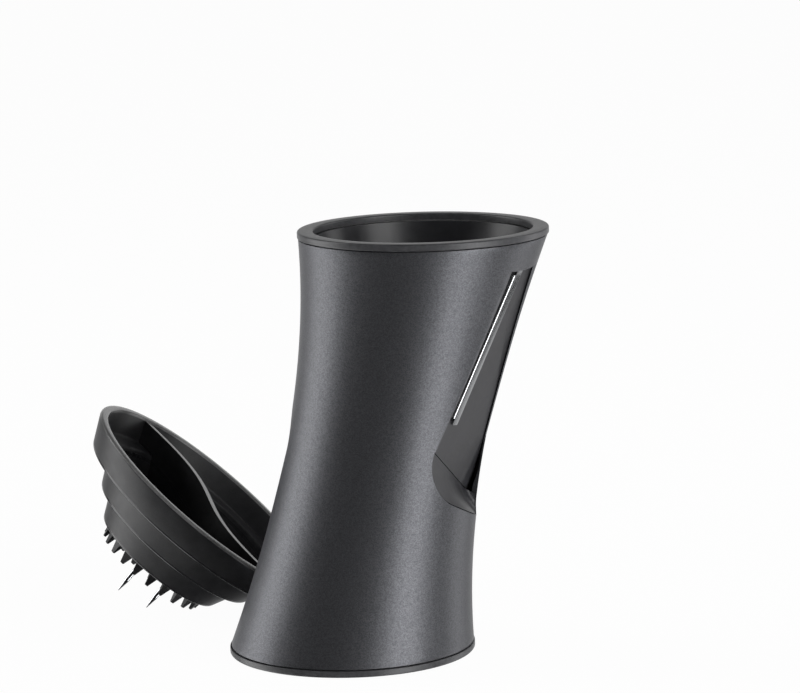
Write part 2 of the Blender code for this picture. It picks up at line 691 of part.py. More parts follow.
def make_spikes(parent, mat):
    """Steel pins with pencil points, whose flat heads sit on the cup's floor."""
    tip = -TIER_DEPTHS[2] - SPIKE_LENGTH
    head_top = HEAD_LOW + SPIKE_HEAD
    profile = [(0.0, tip), (SPIKE_TIP_RADIUS, tip), (SPIKE_RADIUS, tip + SPIKE_POINT),
               (SPIKE_RADIUS, HEAD_LOW), (SPIKE_HEAD_RADIUS, HEAD_LOW),
               (SPIKE_HEAD_RADIUS, head_top), (0.0, head_top)]
    for i, place in enumerate(spike_places()):
        bm = bmesh.new()
        add_turned(bm, profile, SMALL_SEGMENTS)
        spike = make_object("holder_spike_" + str(i + 1), bm, parent, mat)
        spike.location = (*place, 0.0)


def make_retainer(parent, mat):
    """The round disc over the spikes' heads, centred on the holder's axis."""
    bm = bmesh.new()
    add_turned(bm, [(0.0, RETAINER_LOW), (RETAINER_RADIUS, RETAINER_LOW), (RETAINER_RADIUS, RETAINER_TOP),
                    (0.0, RETAINER_TOP)], ROUND_SEGMENTS // 2)
    return make_object("holder_spike_retainer", bm, parent, mat)


def outer_circles():
    """Radius and depth of the holder's circles that can touch the counter or the slicer."""
    circles = [(HOLDER_RIM_RADIUS, 0.0)]
    circles += list(zip(TIER_BOTTOM_RADII, TIER_DEPTHS)) + list(zip(TIER_TOP_RADII[1:], TIER_DEPTHS))
    circles.append((OUTER_TOOTH_CIRCLE + TOOTH_TIP / 2, TIER_DEPTHS[2] + TOOTH_LENGTH))
    circles.append((SPIKE_CIRCLE, TIER_DEPTHS[2] + SPIKE_LENGTH))
    return circles


def gap_to_casing(points, shift):
    """Least distance from the casing's form to points that are shifted first."""
    gap = math.inf
    for point in points:
        place = point + shift
        height = min(max(place.z, 0.0), SLICER_HEIGHT)
        reach = math.hypot(place.x - casing_centre(height), place.y)
        gap = min(gap, reach - casing_radius(height))
    return gap


def holder_place():
    """Where the tilted holder lies: down on the counter, then slid in towards the casing."""
    turn = Matrix.Rotation(HOLDER_HEADING, 4, "Z") @ Matrix.Rotation(HOLDER_TILT, 4, "Y")
    points = []
    for radius, depth in outer_circles():
        points += [turn @ point for point in circle((0.0, 0.0), radius, -depth, ROUND_SEGMENTS)]
    height = FIT_GAP - min(point.z for point in points)
    way = Vector((math.cos(HOLDER_BEARING), math.sin(HOLDER_BEARING), 0.0))
    near = RIM_RADIUS
    far = RIM_RADIUS + LEAN + 2 * HOLDER_RIM_RADIUS
    for _ in range(40):
        middle = (near + far) / 2
        if gap_to_casing(points, way * middle + Vector((0.0, 0.0, height))) < HOLDER_SIDE_GAP:
            near = middle
        else:
            far = middle
    return Matrix.Translation(way * far + Vector((0.0, 0.0, height))) @ turn


def make_holder(parent, mats):
    frame = empty("holder_axis", parent)
    frame.matrix_local = holder_place()
    holes = make_spike_holes(frame)
    make_holder_shell(frame, holes, mats["holder"])
    make_grip_web(frame, mats["holder"])
    make_tooth_plate(frame, holes, mats["holder"])
    make_spikes(frame, mats["steel"])
    make_retainer(frame, mats["holder"])


def centre_on_origin(root):
    """Moves the whole object so that its box stands centred on the origin."""
    bpy.context.view_layer.update()
    graph = bpy.context.evaluated_depsgraph_get()
    low = Vector((math.inf,) * 3)
    high = -low
    for piece in bpy.data.objects:
        if piece.type != "MESH" or piece.hide_render:
            continue
        shown = piece.evaluated_get(graph)
        for vertex in shown.data.vertices:
            place = shown.matrix_world @ vertex.co
            low = Vector(map(min, low, place))
            high = Vector(map(max, high, place))
    root.location = (-(low.x + high.x) / 2, -(low.y + high.y) / 2, -low.z)
    bpy.context.view_layer.update()


def main():
    clear_scene()
    mats = {
        "casing": material("casing_grey", (0.085, 0.088, 0.095), 0.42, 0.35),
        "rim": material("rim_grey", (0.075, 0.077, 0.083), 0.45, 0.2),
        "insert": material("insert_black", (0.018, 0.018, 0.020), 0.35, 0.0),
        "holder": material("holder_black", (0.020, 0.020, 0.022), 0.5, 0.0),
        "steel": material("steel", (0.72, 0.73, 0.75), 0.22, 1.0),
    }
    root = empty("spiral_slicer")
    make_slicer(root, mats)
    make_holder(root, mats)
    centre_on_origin(root)


main()
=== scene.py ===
"""Looks of a leaning hourglass spiral slicer and the stepped food holder that lies beside it.

Metres, +Z up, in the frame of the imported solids. Both ends of the slicer are alike: each lower
piece is the upper one turned half a turn about the level line through the slicer's middle. Only
the lower comb differs, which has more and narrower teeth.
"""
import json
import math

import bmesh
import bpy
from mathutils import Matrix, Vector


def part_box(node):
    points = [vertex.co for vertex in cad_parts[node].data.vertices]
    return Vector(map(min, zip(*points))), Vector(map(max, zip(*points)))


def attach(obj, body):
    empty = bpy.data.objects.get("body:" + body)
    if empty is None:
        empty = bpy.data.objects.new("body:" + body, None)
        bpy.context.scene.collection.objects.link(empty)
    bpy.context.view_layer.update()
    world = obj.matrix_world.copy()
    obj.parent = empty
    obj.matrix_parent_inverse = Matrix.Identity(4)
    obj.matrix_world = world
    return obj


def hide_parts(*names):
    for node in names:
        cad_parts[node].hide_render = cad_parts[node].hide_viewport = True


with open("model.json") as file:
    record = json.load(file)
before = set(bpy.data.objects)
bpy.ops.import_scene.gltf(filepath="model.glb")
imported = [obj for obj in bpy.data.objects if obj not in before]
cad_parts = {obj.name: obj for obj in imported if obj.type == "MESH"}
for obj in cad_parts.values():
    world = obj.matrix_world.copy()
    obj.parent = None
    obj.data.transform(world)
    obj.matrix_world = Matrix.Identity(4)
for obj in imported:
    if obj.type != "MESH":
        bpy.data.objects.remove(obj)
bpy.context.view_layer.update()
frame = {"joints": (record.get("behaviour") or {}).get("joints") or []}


# The photograph's camera, worked out from the outlines of the two rim rings. The lens is long
# and stands a little above the rim, so the slicer's sides stay nearly parallel in the picture.
CAMERA_PLACE = Vector((0.608733, -1.129125, 0.313800))
CAMERA_AZIMUTH = math.radians(27.0)
CAMERA_ELEVATION = math.radians(9.382)
CAMERA_ROLL = math.radians(-1.496)
CAMERA_LENS = 164.9
CAMERA_SENSOR = 36.0
CAMERA_REACH = 20.0

level_right = Vector((math.cos(CAMERA_AZIMUTH), math.sin(CAMERA_AZIMUTH), 0.0))
away = Vector((math.sin(CAMERA_AZIMUTH) * math.cos(CAMERA_ELEVATION),
               -math.cos(CAMERA_AZIMUTH) * math.cos(CAMERA_ELEVATION), math.sin(CAMERA_ELEVATION)))
level_up = away.cross(level_right)
picture_right = level_right * math.cos(CAMERA_ROLL) + level_up * math.sin(CAMERA_ROLL)
picture_up = level_up * math.cos(CAMERA_ROLL) - level_right * math.sin(CAMERA_ROLL)
camera = bpy.data.objects.new("camera", bpy.data.cameras.new("camera"))
bpy.context.collection.objects.link(camera)
camera.matrix_world = Matrix.Translation(CAMERA_PLACE) @ Matrix(
    (picture_right, picture_up, away)).transposed().to_4x4()
camera.data.lens = CAMERA_LENS
camera.data.sensor_width = CAMERA_SENSOR
camera.data.clip_end = CAMERA_REACH
bpy.context.scene.camera = camera
bpy.context.scene.view_settings.view_transform = "Standard"


# The casing: one sleeve of dark grey plastic with a fine metal pigment, moulded with a leaning
# waist. A slanted flat with a rounded pocket under it is cut out of its side at each end.
SLICER_HEIGHT = 0.150
RIM_RADIUS = 0.043
RIM_HEIGHT = 0.0023
LEAN = 0.0316
LEAN_CURL = 0.09
WAIST_RADIUS = 0.0349
CASING_STEP_IN = 0.0003
CASING_WALL = 0.0016
CASING_EDGE = 0.0004
EDGE_SHARE = 0.3
FIT_GAP = 0.0003
FLANGE_THICKNESS = 0.0013
FLANGE_OVERLAP = 0.0009
CASING_SEGMENTS = 240
CASING_LEVELS = 84
SHARP_ANGLE = 30.0
FLAKE_SCALE = 3600.0
FLAKE_SHARE = 0.5
CASING_DARK = (0.070, 0.071, 0.077, 1.0)
CASING_LIGHT = (0.135, 0.137, 0.148, 1.0)
NOISE_LOW = 0.3
NOISE_HIGH = 0.7
MIDDLE = SLICER_HEIGHT / 2
RING_CENTRE = LEAN / 2
CASING_END = SLICER_HEIGHT - RIM_HEIGHT - FIT_GAP
CASING_END_RADIUS = RIM_RADIUS - CASING_STEP_IN

casing_low, casing_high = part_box("casing")
slicer_place = Vector(((casing_low.x + casing_high.x) / 2, (casing_low.y + casing_high.y) / 2, 0.0))
ENDS = {
    "upper": Matrix.Translation(slicer_place),
    "lower": (Matrix.Translation(slicer_place + Vector((0.0, 0.0, SLICER_HEIGHT)))
              @ Matrix.Rotation(math.pi, 4, "Y")),
}


class Signal:
    """A shader socket that takes part in sums: an operator adds the Math node for it."""

    def __init__(self, finish, socket):
        self.finish = finish
        self.socket = socket

    def math(self, operation, first, second):
        return self.finish.node("ShaderNodeMath", {"operation": operation}, {0: first, 1: second})

    def __add__(self, other):
        return self.math("ADD", self, other)

    def __radd__(self, other):
        return self.math("ADD", other, self)

    def __sub__(self, other):
        return self.math("SUBTRACT", self, other)

    def __rsub__(self, other):
        return self.math("SUBTRACT", other, self)

    def __mul__(self, other):
        return self.math("MULTIPLY", self, other)

    def __rmul__(self, other):
        return self.math("MULTIPLY", other, self)

    def __gt__(self, other):
        return self.math("GREATER_THAN", self, other)


class Finish:
    """A material, or the world, while its nodes are being laid."""

    def __init__(self, owner):
        self.material = bpy.data.materials.new(owner) if isinstance(owner, str) else owner
        self.material.use_nodes = True
        self.tree = self.material.node_tree
        self.tree.nodes.clear()

    def node(self, kind, settings=None, sockets=None, out=0):
        """A node of a kind with its settings, then its sockets' values or links. Gives one output."""
        made = self.tree.nodes.new(kind)
        for key, value in (settings or {}).items():
            setattr(made, key, value)
        for key, value in (sockets or {}).items():
            if isinstance(value, Signal):
                self.tree.links.new(value.socket, made.inputs[key])
            else:
                made.inputs[key].default_value = value
        return Signal(self, made.outputs[out]) if made.outputs else None

    def place(self):
        """Object coordinates."""
        return self.node("ShaderNodeTexCoord", out=3)

    def noise(self, where, scale, detail=2.0, roughness=0.5):
        return self.node("ShaderNodeTexNoise", {}, {"Vector": where, "Scale": scale, "Detail": detail,
                                                     "Roughness": roughness})

    def spread(self, value, low, high, to_low=0.0, to_high=1.0):
        """A value's range laid on another, held at both ends."""
        return self.node("ShaderNodeMapRange", {}, {0: value, 1: low, 2: high, 3: to_low, 4: to_high})

    def vary(self, noise, low=0.0, high=1.0):
        """The usual range of a noise laid on another range."""
        return self.spread(noise, NOISE_LOW, NOISE_HIGH, low, high)

    def blend(self, factor, first, second):
        return self.node("ShaderNodeMix", {"data_type": "RGBA"}, {0: factor, 6: first, 7: second}, out=2)

    def bump(self, height, depth, strength):
        return self.node("ShaderNodeBump", {}, {"Strength": strength, "Distance": depth, "Height": height})

    def surface(self, **sockets):
        shader = self.node("ShaderNodeBsdfPrincipled", {}, {name.replace("_", " "): value
                                                            for name, value in sockets.items()})
        self.node("ShaderNodeOutputMaterial", {}, {"Surface": shader})
        return self.material


def grey(level):
    return (level, level, level, 1.0)


def casing_plastic():
    """Dark grey with metal flakes: some catch the light, and the skin has a very fine grain."""
    finish = Finish("casing_plastic")
    where = finish.place()
    flakes = finish.node("ShaderNodeTexVoronoi", {}, {"Vector": where, "Scale": FLAKE_SCALE}, out=1)
    tone = finish.node("ShaderNodeSeparateColor", {}, {0: flakes})
    cloud = finish.noise(where, scale=900.0, detail=3.0, roughness=0.6)
    level = finish.spread(tone * FLAKE_SHARE + cloud * (1.0 - FLAKE_SHARE), low=0.25, high=0.75)
    colour = finish.blend(level, CASING_DARK, CASING_LIGHT)
    grain = finish.noise(where, scale=2400.0, detail=2.0, roughness=0.6)
    metal = finish.spread(level, low=0.0, high=1.0, to_low=0.70, to_high=0.88)
    return finish.surface(Base_Color=colour, Metallic=metal, Specular_IOR_Level=0.35,
                          Roughness=finish.vary(cloud, low=0.40, high=0.46),
                          Normal=finish.bump(grain, depth=0.00004, strength=0.6))


def add_loft(bm, rings, closed):
    """Bands of faces between rings of equal length, with flat caps unless they close on themselves."""
    loops = [[bm.verts.new(point) for point in ring] for ring in rings]
    pairs = list(zip(loops, loops[1:]))
    if closed:
        pairs.append((loops[-1], loops[0]))
    for low, high in pairs:
        count = len(low)
        for i in range(count):
            j = (i + 1) % count
            bm.faces.new((low[i], low[j], high[j], high[i]))
    if not closed:
        bm.faces.new(list(reversed(loops[0])))
        bm.faces.new(loops[-1])


def circle(centre, radius, height, segments):
    """Points of a level circle whose centre is moved along x."""
    turn = 2 * math.pi / segments
    return [Vector((centre + radius * math.cos(turn * i), radius * math.sin(turn * i), height))
            for i in range(segments)]


def make_piece(name, bm, finish, place=Matrix(), crease=SHARP_ANGLE):
    """A named piece from a bmesh, with its place in its mesh and its faces pointing out."""
    bmesh.ops.transform(bm, matrix=place, verts=bm.verts)
    bmesh.ops.recalc_face_normals(bm, faces=bm.faces[:])
    mesh = bpy.data.meshes.new(name)
    bm.to_mesh(mesh)
    bm.free()
    mesh.shade_smooth()
    mesh.set_sharp_from_angle(angle=math.radians(crease))
    piece = bpy.data.objects.new(name, mesh)
    bpy.context.collection.objects.link(piece)
    if finish:
        mesh.materials.append(finish)
    return piece


def settle(piece):
    """The piece's modifiers become its plain mesh."""
    bpy.context.view_layer.update()
    graph = bpy.context.evaluated_depsgraph_get()
    mesh = bpy.data.meshes.new_from_object(piece.evaluated_get(graph))
    piece.modifiers.clear()
    piece.data = mesh
    mesh.shade_smooth()
    mesh.set_sharp_from_angle(angle=math.radians(SHARP_ANGLE))


def carve(piece, tool, operation="DIFFERENCE"):
    """Cuts with a tool piece, or joins or meets it, and clears the tool away."""
    step = piece.modifiers.new(tool.name, "BOOLEAN")
    step.object = tool
    step.operation = operation
    step.solver = "EXACT"
    settle(piece)
    bpy.data.objects.remove(tool, do_unlink=True)


def along(height):
    """Place between the casing's ends: -1 at the lower end, 1 at the upper."""
    return (height - MIDDLE) / (MIDDLE - RIM_HEIGHT)


def casing_radius(height):
    return WAIST_RADIUS + (CASING_END_RADIUS - WAIST_RADIUS) * along(height) ** 2


def casing_centre(height):
    part = along(height)
    return RING_CENTRE * ((1 + LEAN_CURL) * part - LEAN_CURL * part ** 3)


def waisted_ring(height, inset):
    return circle(casing_centre(height), casing_radius(height) - inset, height, CASING_SEGMENTS)


def waisted_levels(low, high):
    return [low + (high - low) * i / (CASING_LEVELS - 1) for i in range(CASING_LEVELS)]


def waisted_form(name, inset):
    """A solid of the casing's outer form, drawn in by an inset, that trims the pieces inside it."""
    bm = bmesh.new()
    levels = waisted_levels(SLICER_HEIGHT - CASING_END, CASING_END)
    add_loft(bm, [waisted_ring(height, inset) for height in levels], closed=False)
    return make_piece(name, bm, None, ENDS["upper"])


# The flat: x runs across it, y up its slope and z out of the slicer, from a point at mid height.
FLAT_ANGLE = math.radians(21.86)
FLAT_DISTANCE = 0.02804
WINDOW_HALF_WIDTH = 0.0207
WINDOW_TOP = 0.06749
WINDOW_BOTTOM = 0.0206
WINDOW_BOTTOM_SLANT = math.radians(19.8)
NEAR_CORNER_RADIUS = 0.016
FAR_CORNER_RADIUS = 0.004
CORNER_STEPS = 24
SKIN_SEARCH = (-0.02, 0.03)
HALVINGS = 40
CREASE_DROP = 0.0099
CREASE_SLANT = math.radians(29.0)
PLATE_RECESS = 0.0006
PLATE_THICKNESS = 0.0020
PLATE_TOP = 0.06949
PLATE_HALF_WIDTH = 0.027
PLATE_BACK = PLATE_RECESS + PLATE_THICKNESS
WINDOW_LIP = 0.0005

across = Vector((0.0, 1.0, 0.0))
slope = Vector((math.sin(FLAT_ANGLE), 0.0, math.cos(FLAT_ANGLE)))
FLAT = Matrix((across, slope, across.cross(slope))).transposed().to_4x4()
FLAT.translation = Vector((FLAT_DISTANCE, 0.0, MIDDLE))


def crease_height(side):
    return -CREASE_DROP - side * math.tan(CREASE_SLANT)


def rounded_corner(point, before, after, radius, steps):
    """Points of the arc that rounds a corner between the directions before and after it."""
    turn = before.angle(after)
    start = point - before * radius * math.tan(turn / 2)
    side = (after - before * before.dot(after)).normalized()
    centre = start + side * radius
    turns = [turn * i / steps for i in range(steps + 1)]
    return [centre + (before * math.sin(t) - side * math.cos(t)) * radius for t in turns]


def window_bottom(inset):
    """The window's edge below the crease, from the near side round both corners to the far side."""
    half = WINDOW_HALF_WIDTH - inset
    slant = Vector((math.cos(WINDOW_BOTTOM_SLANT), -math.sin(WINDOW_BOTTOM_SLANT)))
    raised = WINDOW_BOTTOM - inset / math.cos(WINDOW_BOTTOM_SLANT)
    down = Vector((0.0, -1.0))
    near = Vector((-half, -raised + half * math.tan(WINDOW_BOTTOM_SLANT)))
    far = Vector((half, -raised - half * math.tan(WINDOW_BOTTOM_SLANT)))
    points = [Vector((-half, crease_height(-half)))]
    points += rounded_corner(near, down, slant, NEAR_CORNER_RADIUS - inset, CORNER_STEPS)
    points += rounded_corner(far, slant, -down, FAR_CORNER_RADIUS - inset, CORNER_STEPS)
    points.append(Vector((half, crease_height(half))))
    return points


def prism(name, outline, low, high, place, finish=None):
    """A straight block on a flat outline between two heights of its place."""
    bm = bmesh.new()
    add_loft(bm, [[Vector((x, y, level)) for x, y in outline] for level in (low, high)], closed=False)
    return make_piece(name, bm, finish, place)


def plate_outline(grown):
    """The blade plate on the flat, from the crease up, grown by a margin all round."""
    half = PLATE_HALF_WIDTH + grown
    rise = FIT_GAP / 2 - grown
    return [(-half, crease_height(-half) + rise), (half, crease_height(half) + rise),
            (half, PLATE_TOP + grown), (-half, PLATE_TOP + grown)]


def surface_out(side, up, inset):
    """How far out of the flat the casing's skin, drawn in by an inset, lies at a place on the flat."""
    low, high = SKIN_SEARCH
    for _ in range(HALVINGS):
        middle = (low + high) / 2
        spot = FLAT @ Vector((side, up, middle))
        if math.hypot(spot.x - casing_centre(spot.z), spot.y) < casing_radius(spot.z) - inset:
            low = middle
        else:
            high = middle
    return low


def make_sleeve():
    """The sleeve, open for the mouth, window and pocket at each end."""
    low_end = SLICER_HEIGHT - CASING_END
    seat_depth = FLANGE_THICKNESS + FIT_GAP
    seat_radius = casing_radius(CASING_END - seat_depth) - CASING_WALL + FLANGE_OVERLAP + FIT_GAP
    round_step = CASING_EDGE * EDGE_SHARE
    outside = [waisted_ring(height, 0.0)
               for height in waisted_levels(low_end + CASING_EDGE, CASING_END - CASING_EDGE)]
    inside = [waisted_ring(height, CASING_WALL)
              for height in waisted_levels(low_end + seat_depth, CASING_END - seat_depth)]
    rings = [waisted_ring(low_end, CASING_EDGE), waisted_ring(low_end + round_step, round_step)]
    rings += outside
    rings += [waisted_ring(CASING_END - round_step, round_step), waisted_ring(CASING_END, CASING_EDGE)]
    rings += [circle(RING_CENTRE, seat_radius, height, CASING_SEGMENTS)
              for height in (CASING_END, CASING_END - seat_depth)]
    rings += inside[::-1]
    rings += [circle(-RING_CENTRE, seat_radius, height, CASING_SEGMENTS)
              for height in (low_end + seat_depth, low_end)]
    bm = bmesh.new()
    add_loft(bm, rings, closed=True)
    sleeve = make_piece("casing_sleeve", bm, casing_plastic(), ENDS["upper"])
    for side, place in ENDS.items():
        outline = window_bottom(0.0)
        outline += [Vector((WINDOW_HALF_WIDTH, WINDOW_TOP)), Vector((-WINDOW_HALF_WIDTH, WINDOW_TOP))]
        carve(sleeve, prism(side + "_window", outline, 0.0, 2 * WINDOW_HALF_WIDTH, place @ FLAT))
        back = PLATE_BACK + FIT_GAP + CASING_WALL
        carve(sleeve, prism(side + "_pocket", window_bottom(FIT_GAP / 3), -back, FIT_GAP, place @ FLAT))
        seat = prism(side + "_seat", plate_outline(FIT_GAP), -PLATE_BACK - FIT_GAP, CASING_WALL, place @ FLAT)
        carve(seat, waisted_form(side + "_lip_form", WINDOW_LIP), "INTERSECT")
        carve(sleeve, seat)
    return sleeve


sleeve = make_sleeve()
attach(sleeve, "slicer")
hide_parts("casing")


# The rim rings: one ring of plain dark grey plastic closes each end of the casing over the
# funnel's flange. A dark seam shows under it, and the slicer stands on the lower one.
MOUTH_RADIUS = 0.0375
RIM_ROUND = 0.0006
RIM_SEGMENTS = 256
RIM_DARK = (0.040, 0.040, 0.043, 1.0)
RIM_LIGHT = (0.060, 0.061, 0.065, 1.0)
ROUND_STEPS = 5
STRAIGHT_TURN = 0.02
AXIS_REACH = 1e-7
ROUND_SHARP = 50.0


def rim_plastic():
    finish = Finish("rim_plastic")
    where = finish.place()
    cloud = finish.noise(where, scale=700.0, detail=3.0, roughness=0.6)
    grain = finish.noise(where, scale=2600.0)
    colour = finish.blend(finish.vary(cloud), RIM_DARK, RIM_LIGHT)
    return finish.surface(Base_Color=colour, Metallic=0.1, Specular_IOR_Level=0.45,
                          Roughness=finish.vary(cloud, low=0.34, high=0.42),
                          Normal=finish.bump(grain, depth=0.00003, strength=0.5))


def rounded_outline(corners):
    """A closed outline of (radius, height) points whose corners carry a rounding radius each."""
    result = []
    count = len(corners)
    for i, (radius, height, rounding) in enumerate(corners):
        point = Vector((radius, height))
        before = (point - Vector(corners[i - 1][:2])).normalized()
        after = (Vector(corners[(i + 1) % count][:2]) - point).normalized()
        turn = before.angle(after)
        if rounding == 0.0 or turn < STRAIGHT_TURN:
            result.append((radius, height))
            continue
        for spot in rounded_corner(point, before, after, rounding, ROUND_STEPS):
            result.append((spot.x, spot.y))
    return result


def add_turned(bm, outline, segments, centre=0.0):
    """A solid turned about an upright axis from a closed outline. Points on the axis stay single."""
    loops = []
    for radius, height in outline:
        if radius < AXIS_REACH:
            loops.append([bm.verts.new((centre, 0.0, height))])
        else:
            loops.append([bm.verts.new(point) for point in circle(centre, radius, height, segments)])
    for low, high in zip(loops, loops[1:] + loops[:1]):
        if len(low) == 1 and len(high) == 1:
            continue
        for i in range(segments):
            j = (i + 1) % segments
            if len(low) == 1:
                bm.faces.new((low[0], high[j], high[i]))
            elif len(high) == 1:
                bm.faces.new((low[i], low[j], high[0]))
            else:
                bm.faces.new((low[i], low[j], high[j], high[i]))


rim_finish = rim_plastic()
for side, place in ENDS.items():
    foot = SLICER_HEIGHT - RIM_HEIGHT
    bm = bmesh.new()
    add_turned(bm, rounded_outline([
        (MOUTH_RADIUS, foot, 0.0), (RIM_RADIUS, foot, RIM_ROUND / 2),
        (RIM_RADIUS, SLICER_HEIGHT, RIM_ROUND), (MOUTH_RADIUS, SLICER_HEIGHT, RIM_ROUND)]),
        RIM_SEGMENTS, RING_CENTRE)
    ring = make_piece(side + "_rim", bm, rim_finish, place, ROUND_SHARP)
    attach(ring, "slicer")
    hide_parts(side + "_rim_ring")


# The funnels: smooth black cones of glossy plastic, one under each mouth, with a flat flange that
# the rim ring holds. The slanted blade plate cuts each cone off on its steep side.
FUNNEL_TAPER = 0.30
FUNNEL_WALL = 0.0018
FUNNEL_FLOOR = 0.0020
FUNNEL_END_GAP = 0.0013
FUNNEL_FLOOR_ROUND = 0.0015
FUNNEL_SEGMENTS = 192
INSERT_DARK = (0.016, 0.016, 0.018, 1.0)
INSERT_LIGHT = (0.024, 0.024, 0.027, 1.0)
BLADE_LENGTH = 0.0577
BLADE_WIDTH = 0.0068
BLADE_SIDE = 0.0099
BLADE_RISE = 0.0100
BLADE_TILT = math.radians(10.2)
SLOT_NEAR = 0.0024
SLOT_FAR = 0.0024
SLOT_END = 0.0012
COMB_STRIP_WIDTH = 0.0011
COMB_THICKNESS = 0.0005

# The blade's own place on the flat: y runs along it from its lower end, x to its far side.
BLADE_PLACE = (FLAT @ Matrix.Translation((-BLADE_SIDE, BLADE_RISE, 0.0))
               @ Matrix.Rotation(-BLADE_TILT, 4, "Z"))


def insert_plastic():
    finish = Finish("insert_plastic")
    where = finish.place()
    haze = finish.noise(where, scale=120.0, detail=4.0, roughness=0.6)
    ripple = finish.noise(where, scale=1500.0)
    colour = finish.blend(finish.vary(haze), INSERT_DARK, INSERT_LIGHT)
    return finish.surface(Base_Color=colour, Roughness=finish.vary(haze, low=0.30, high=0.40),
                          Normal=finish.bump(ripple, depth=0.00002, strength=0.4), Specular_IOR_Level=0.4)


def box_outline(x_low, x_high, y_low, y_high):
    return [(x_low, y_low), (x_high, y_low), (x_high, y_high), (x_low, y_high)]


def funnel_radius(height):
    return MOUTH_RADIUS - FUNNEL_TAPER * (SLICER_HEIGHT - height)


insert_finish = insert_plastic()
flange_low = CASING_END - FLANGE_THICKNESS
flange_radius = casing_radius(flange_low - FIT_GAP) - CASING_WALL + FLANGE_OVERLAP
for side, place in ENDS.items():
    bottom = MIDDLE + FUNNEL_END_GAP
    floor = bottom + FUNNEL_FLOOR
    bm = bmesh.new()
    add_turned(bm, rounded_outline([
        (funnel_radius(CASING_END), CASING_END, 0.0), (funnel_radius(floor), floor, FUNNEL_FLOOR_ROUND),
        (0.0, floor, 0.0), (0.0, bottom, 0.0), (funnel_radius(bottom) + FUNNEL_WALL, bottom, 0.0),
        (funnel_radius(flange_low) + FUNNEL_WALL, flange_low, 0.0),
        (flange_radius, flange_low, 0.0), (flange_radius, CASING_END, 0.0)]), FUNNEL_SEGMENTS, RING_CENTRE)
    funnel = make_piece(side + "_cone", bm, insert_finish, place)
    reach = 2 * RIM_RADIUS
    under_flange = (flange_low - FIT_GAP - MIDDLE) / math.cos(FLAT_ANGLE)
    outside = box_outline(-reach, reach, -SLICER_HEIGHT, under_flange)
    carve(funnel, prism(side + "_flat_side", outside, -PLATE_BACK - FIT_GAP, SLICER_HEIGHT, place @ FLAT))
    near = -BLADE_WIDTH - SLOT_NEAR - COMB_STRIP_WIDTH - 2 * FIT_GAP
    relief = box_outline(near, -BLADE_WIDTH + SLOT_FAR, -2 * FIT_GAP, BLADE_LENGTH + 2 * FIT_GAP)
    depth = PLATE_BACK + COMB_THICKNESS + FUNNEL_WALL + 3 * FIT_GAP
    carve(funnel, prism(side + "_relief", relief, -depth, 0.0, place @ BLADE_PLACE))
    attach(funnel, "slicer")
    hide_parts(side + "_funnel")


# The blade plates: the flat wall between funnel and window, of a dark grey plastic smoother than
# the casing. A narrow slot runs up it, and it ends below in a slanting crease.
PLATE_DARK = (0.018, 0.018, 0.020, 1.0)
PLATE_LIGHT = (0.026, 0.026, 0.029, 1.0)


def plate_plastic():
    finish = Finish("plate_plastic")
    where = finish.place()
    haze = finish.noise(where, scale=160.0, detail=4.0, roughness=0.6)
    grain = finish.noise(where, scale=2200.0)
    colour = finish.blend(finish.vary(haze), PLATE_DARK, PLATE_LIGHT)
    return finish.surface(Base_Color=colour, Roughness=finish.vary(haze, low=0.36, high=0.46),
                          Normal=finish.bump(grain, depth=0.00003, strength=0.5), Specular_IOR_Level=0.4)


plate_finish = plate_plastic()
for side, place in ENDS.items():
    plate = prism(side + "_plate", plate_outline(0.0), -PLATE_BACK, -PLATE_RECESS, place @ FLAT, plate_finish)
    carve(plate, waisted_form(side + "_plate_form", WINDOW_LIP + FIT_GAP), "INTERSECT")
    slot = box_outline(-BLADE_WIDTH - SLOT_NEAR, -BLADE_WIDTH + SLOT_FAR, SLOT_END, BLADE_LENGTH - SLOT_END)
    carve(plate, prism(side + "_slot", slot, -2 * PLATE_BACK, PLATE_BACK, place @ BLADE_PLACE))
    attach(plate, "slicer")
    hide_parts(side + "_blade_wall")


# The chutes: below the crease a curved floor of the plate's plastic leads out of the slicer. It
# starts on the plate's face and runs out to the window's rounded lower edge.
SCOOP_WALL = 0.0020
SCOOP_HOLLOW = 0.2
SCOOP_ROWS = 20
SHORTEST_STEP = 1e-9


def even_points(points, count):
    """Points at even steps along a chain."""
    lengths = [0.0]
    for first, second in zip(points, points[1:]):
        lengths.append(lengths[-1] + (second - first).length)
    result = []
    spot = 0
    for i in range(count):
        target = lengths[-1] * i / (count - 1)
        while spot < len(points) - 2 and lengths[spot + 1] < target:
            spot += 1
        span = max(lengths[spot + 1] - lengths[spot], SHORTEST_STEP)
        result.append(points[spot].lerp(points[spot + 1], (target - lengths[spot]) / span))
    return result


def chute_columns():
    """The chute's face as columns of points, each from the plate's foot out to the window's lip."""
    columns = 4 * CORNER_STEPS + 1
    edge = even_points(window_bottom(FIT_GAP / 3 + FIT_GAP), columns)
    reach = WINDOW_HALF_WIDTH - 2 * FIT_GAP - SCOOP_WALL / 2
    result = []
    for i, lip in enumerate(edge):
        side = -reach + 2 * reach * i / (columns - 1)
        start = Vector((side, crease_height(side) - FIT_GAP / 2, -PLATE_RECESS))
        end = Vector((lip.x, lip.y - FIT_GAP / 2, surface_out(lip.x, lip.y, WINDOW_LIP)))
        bend = start.lerp(end, 0.5)
        bend.z = start.z + SCOOP_HOLLOW * (end.z - start.z)
        steps = [j / SCOOP_ROWS for j in range(SCOOP_ROWS + 1)]
        result.append([start * (1 - t) ** 2 + bend * 2 * t * (1 - t) + end * t ** 2 for t in steps])
    return result


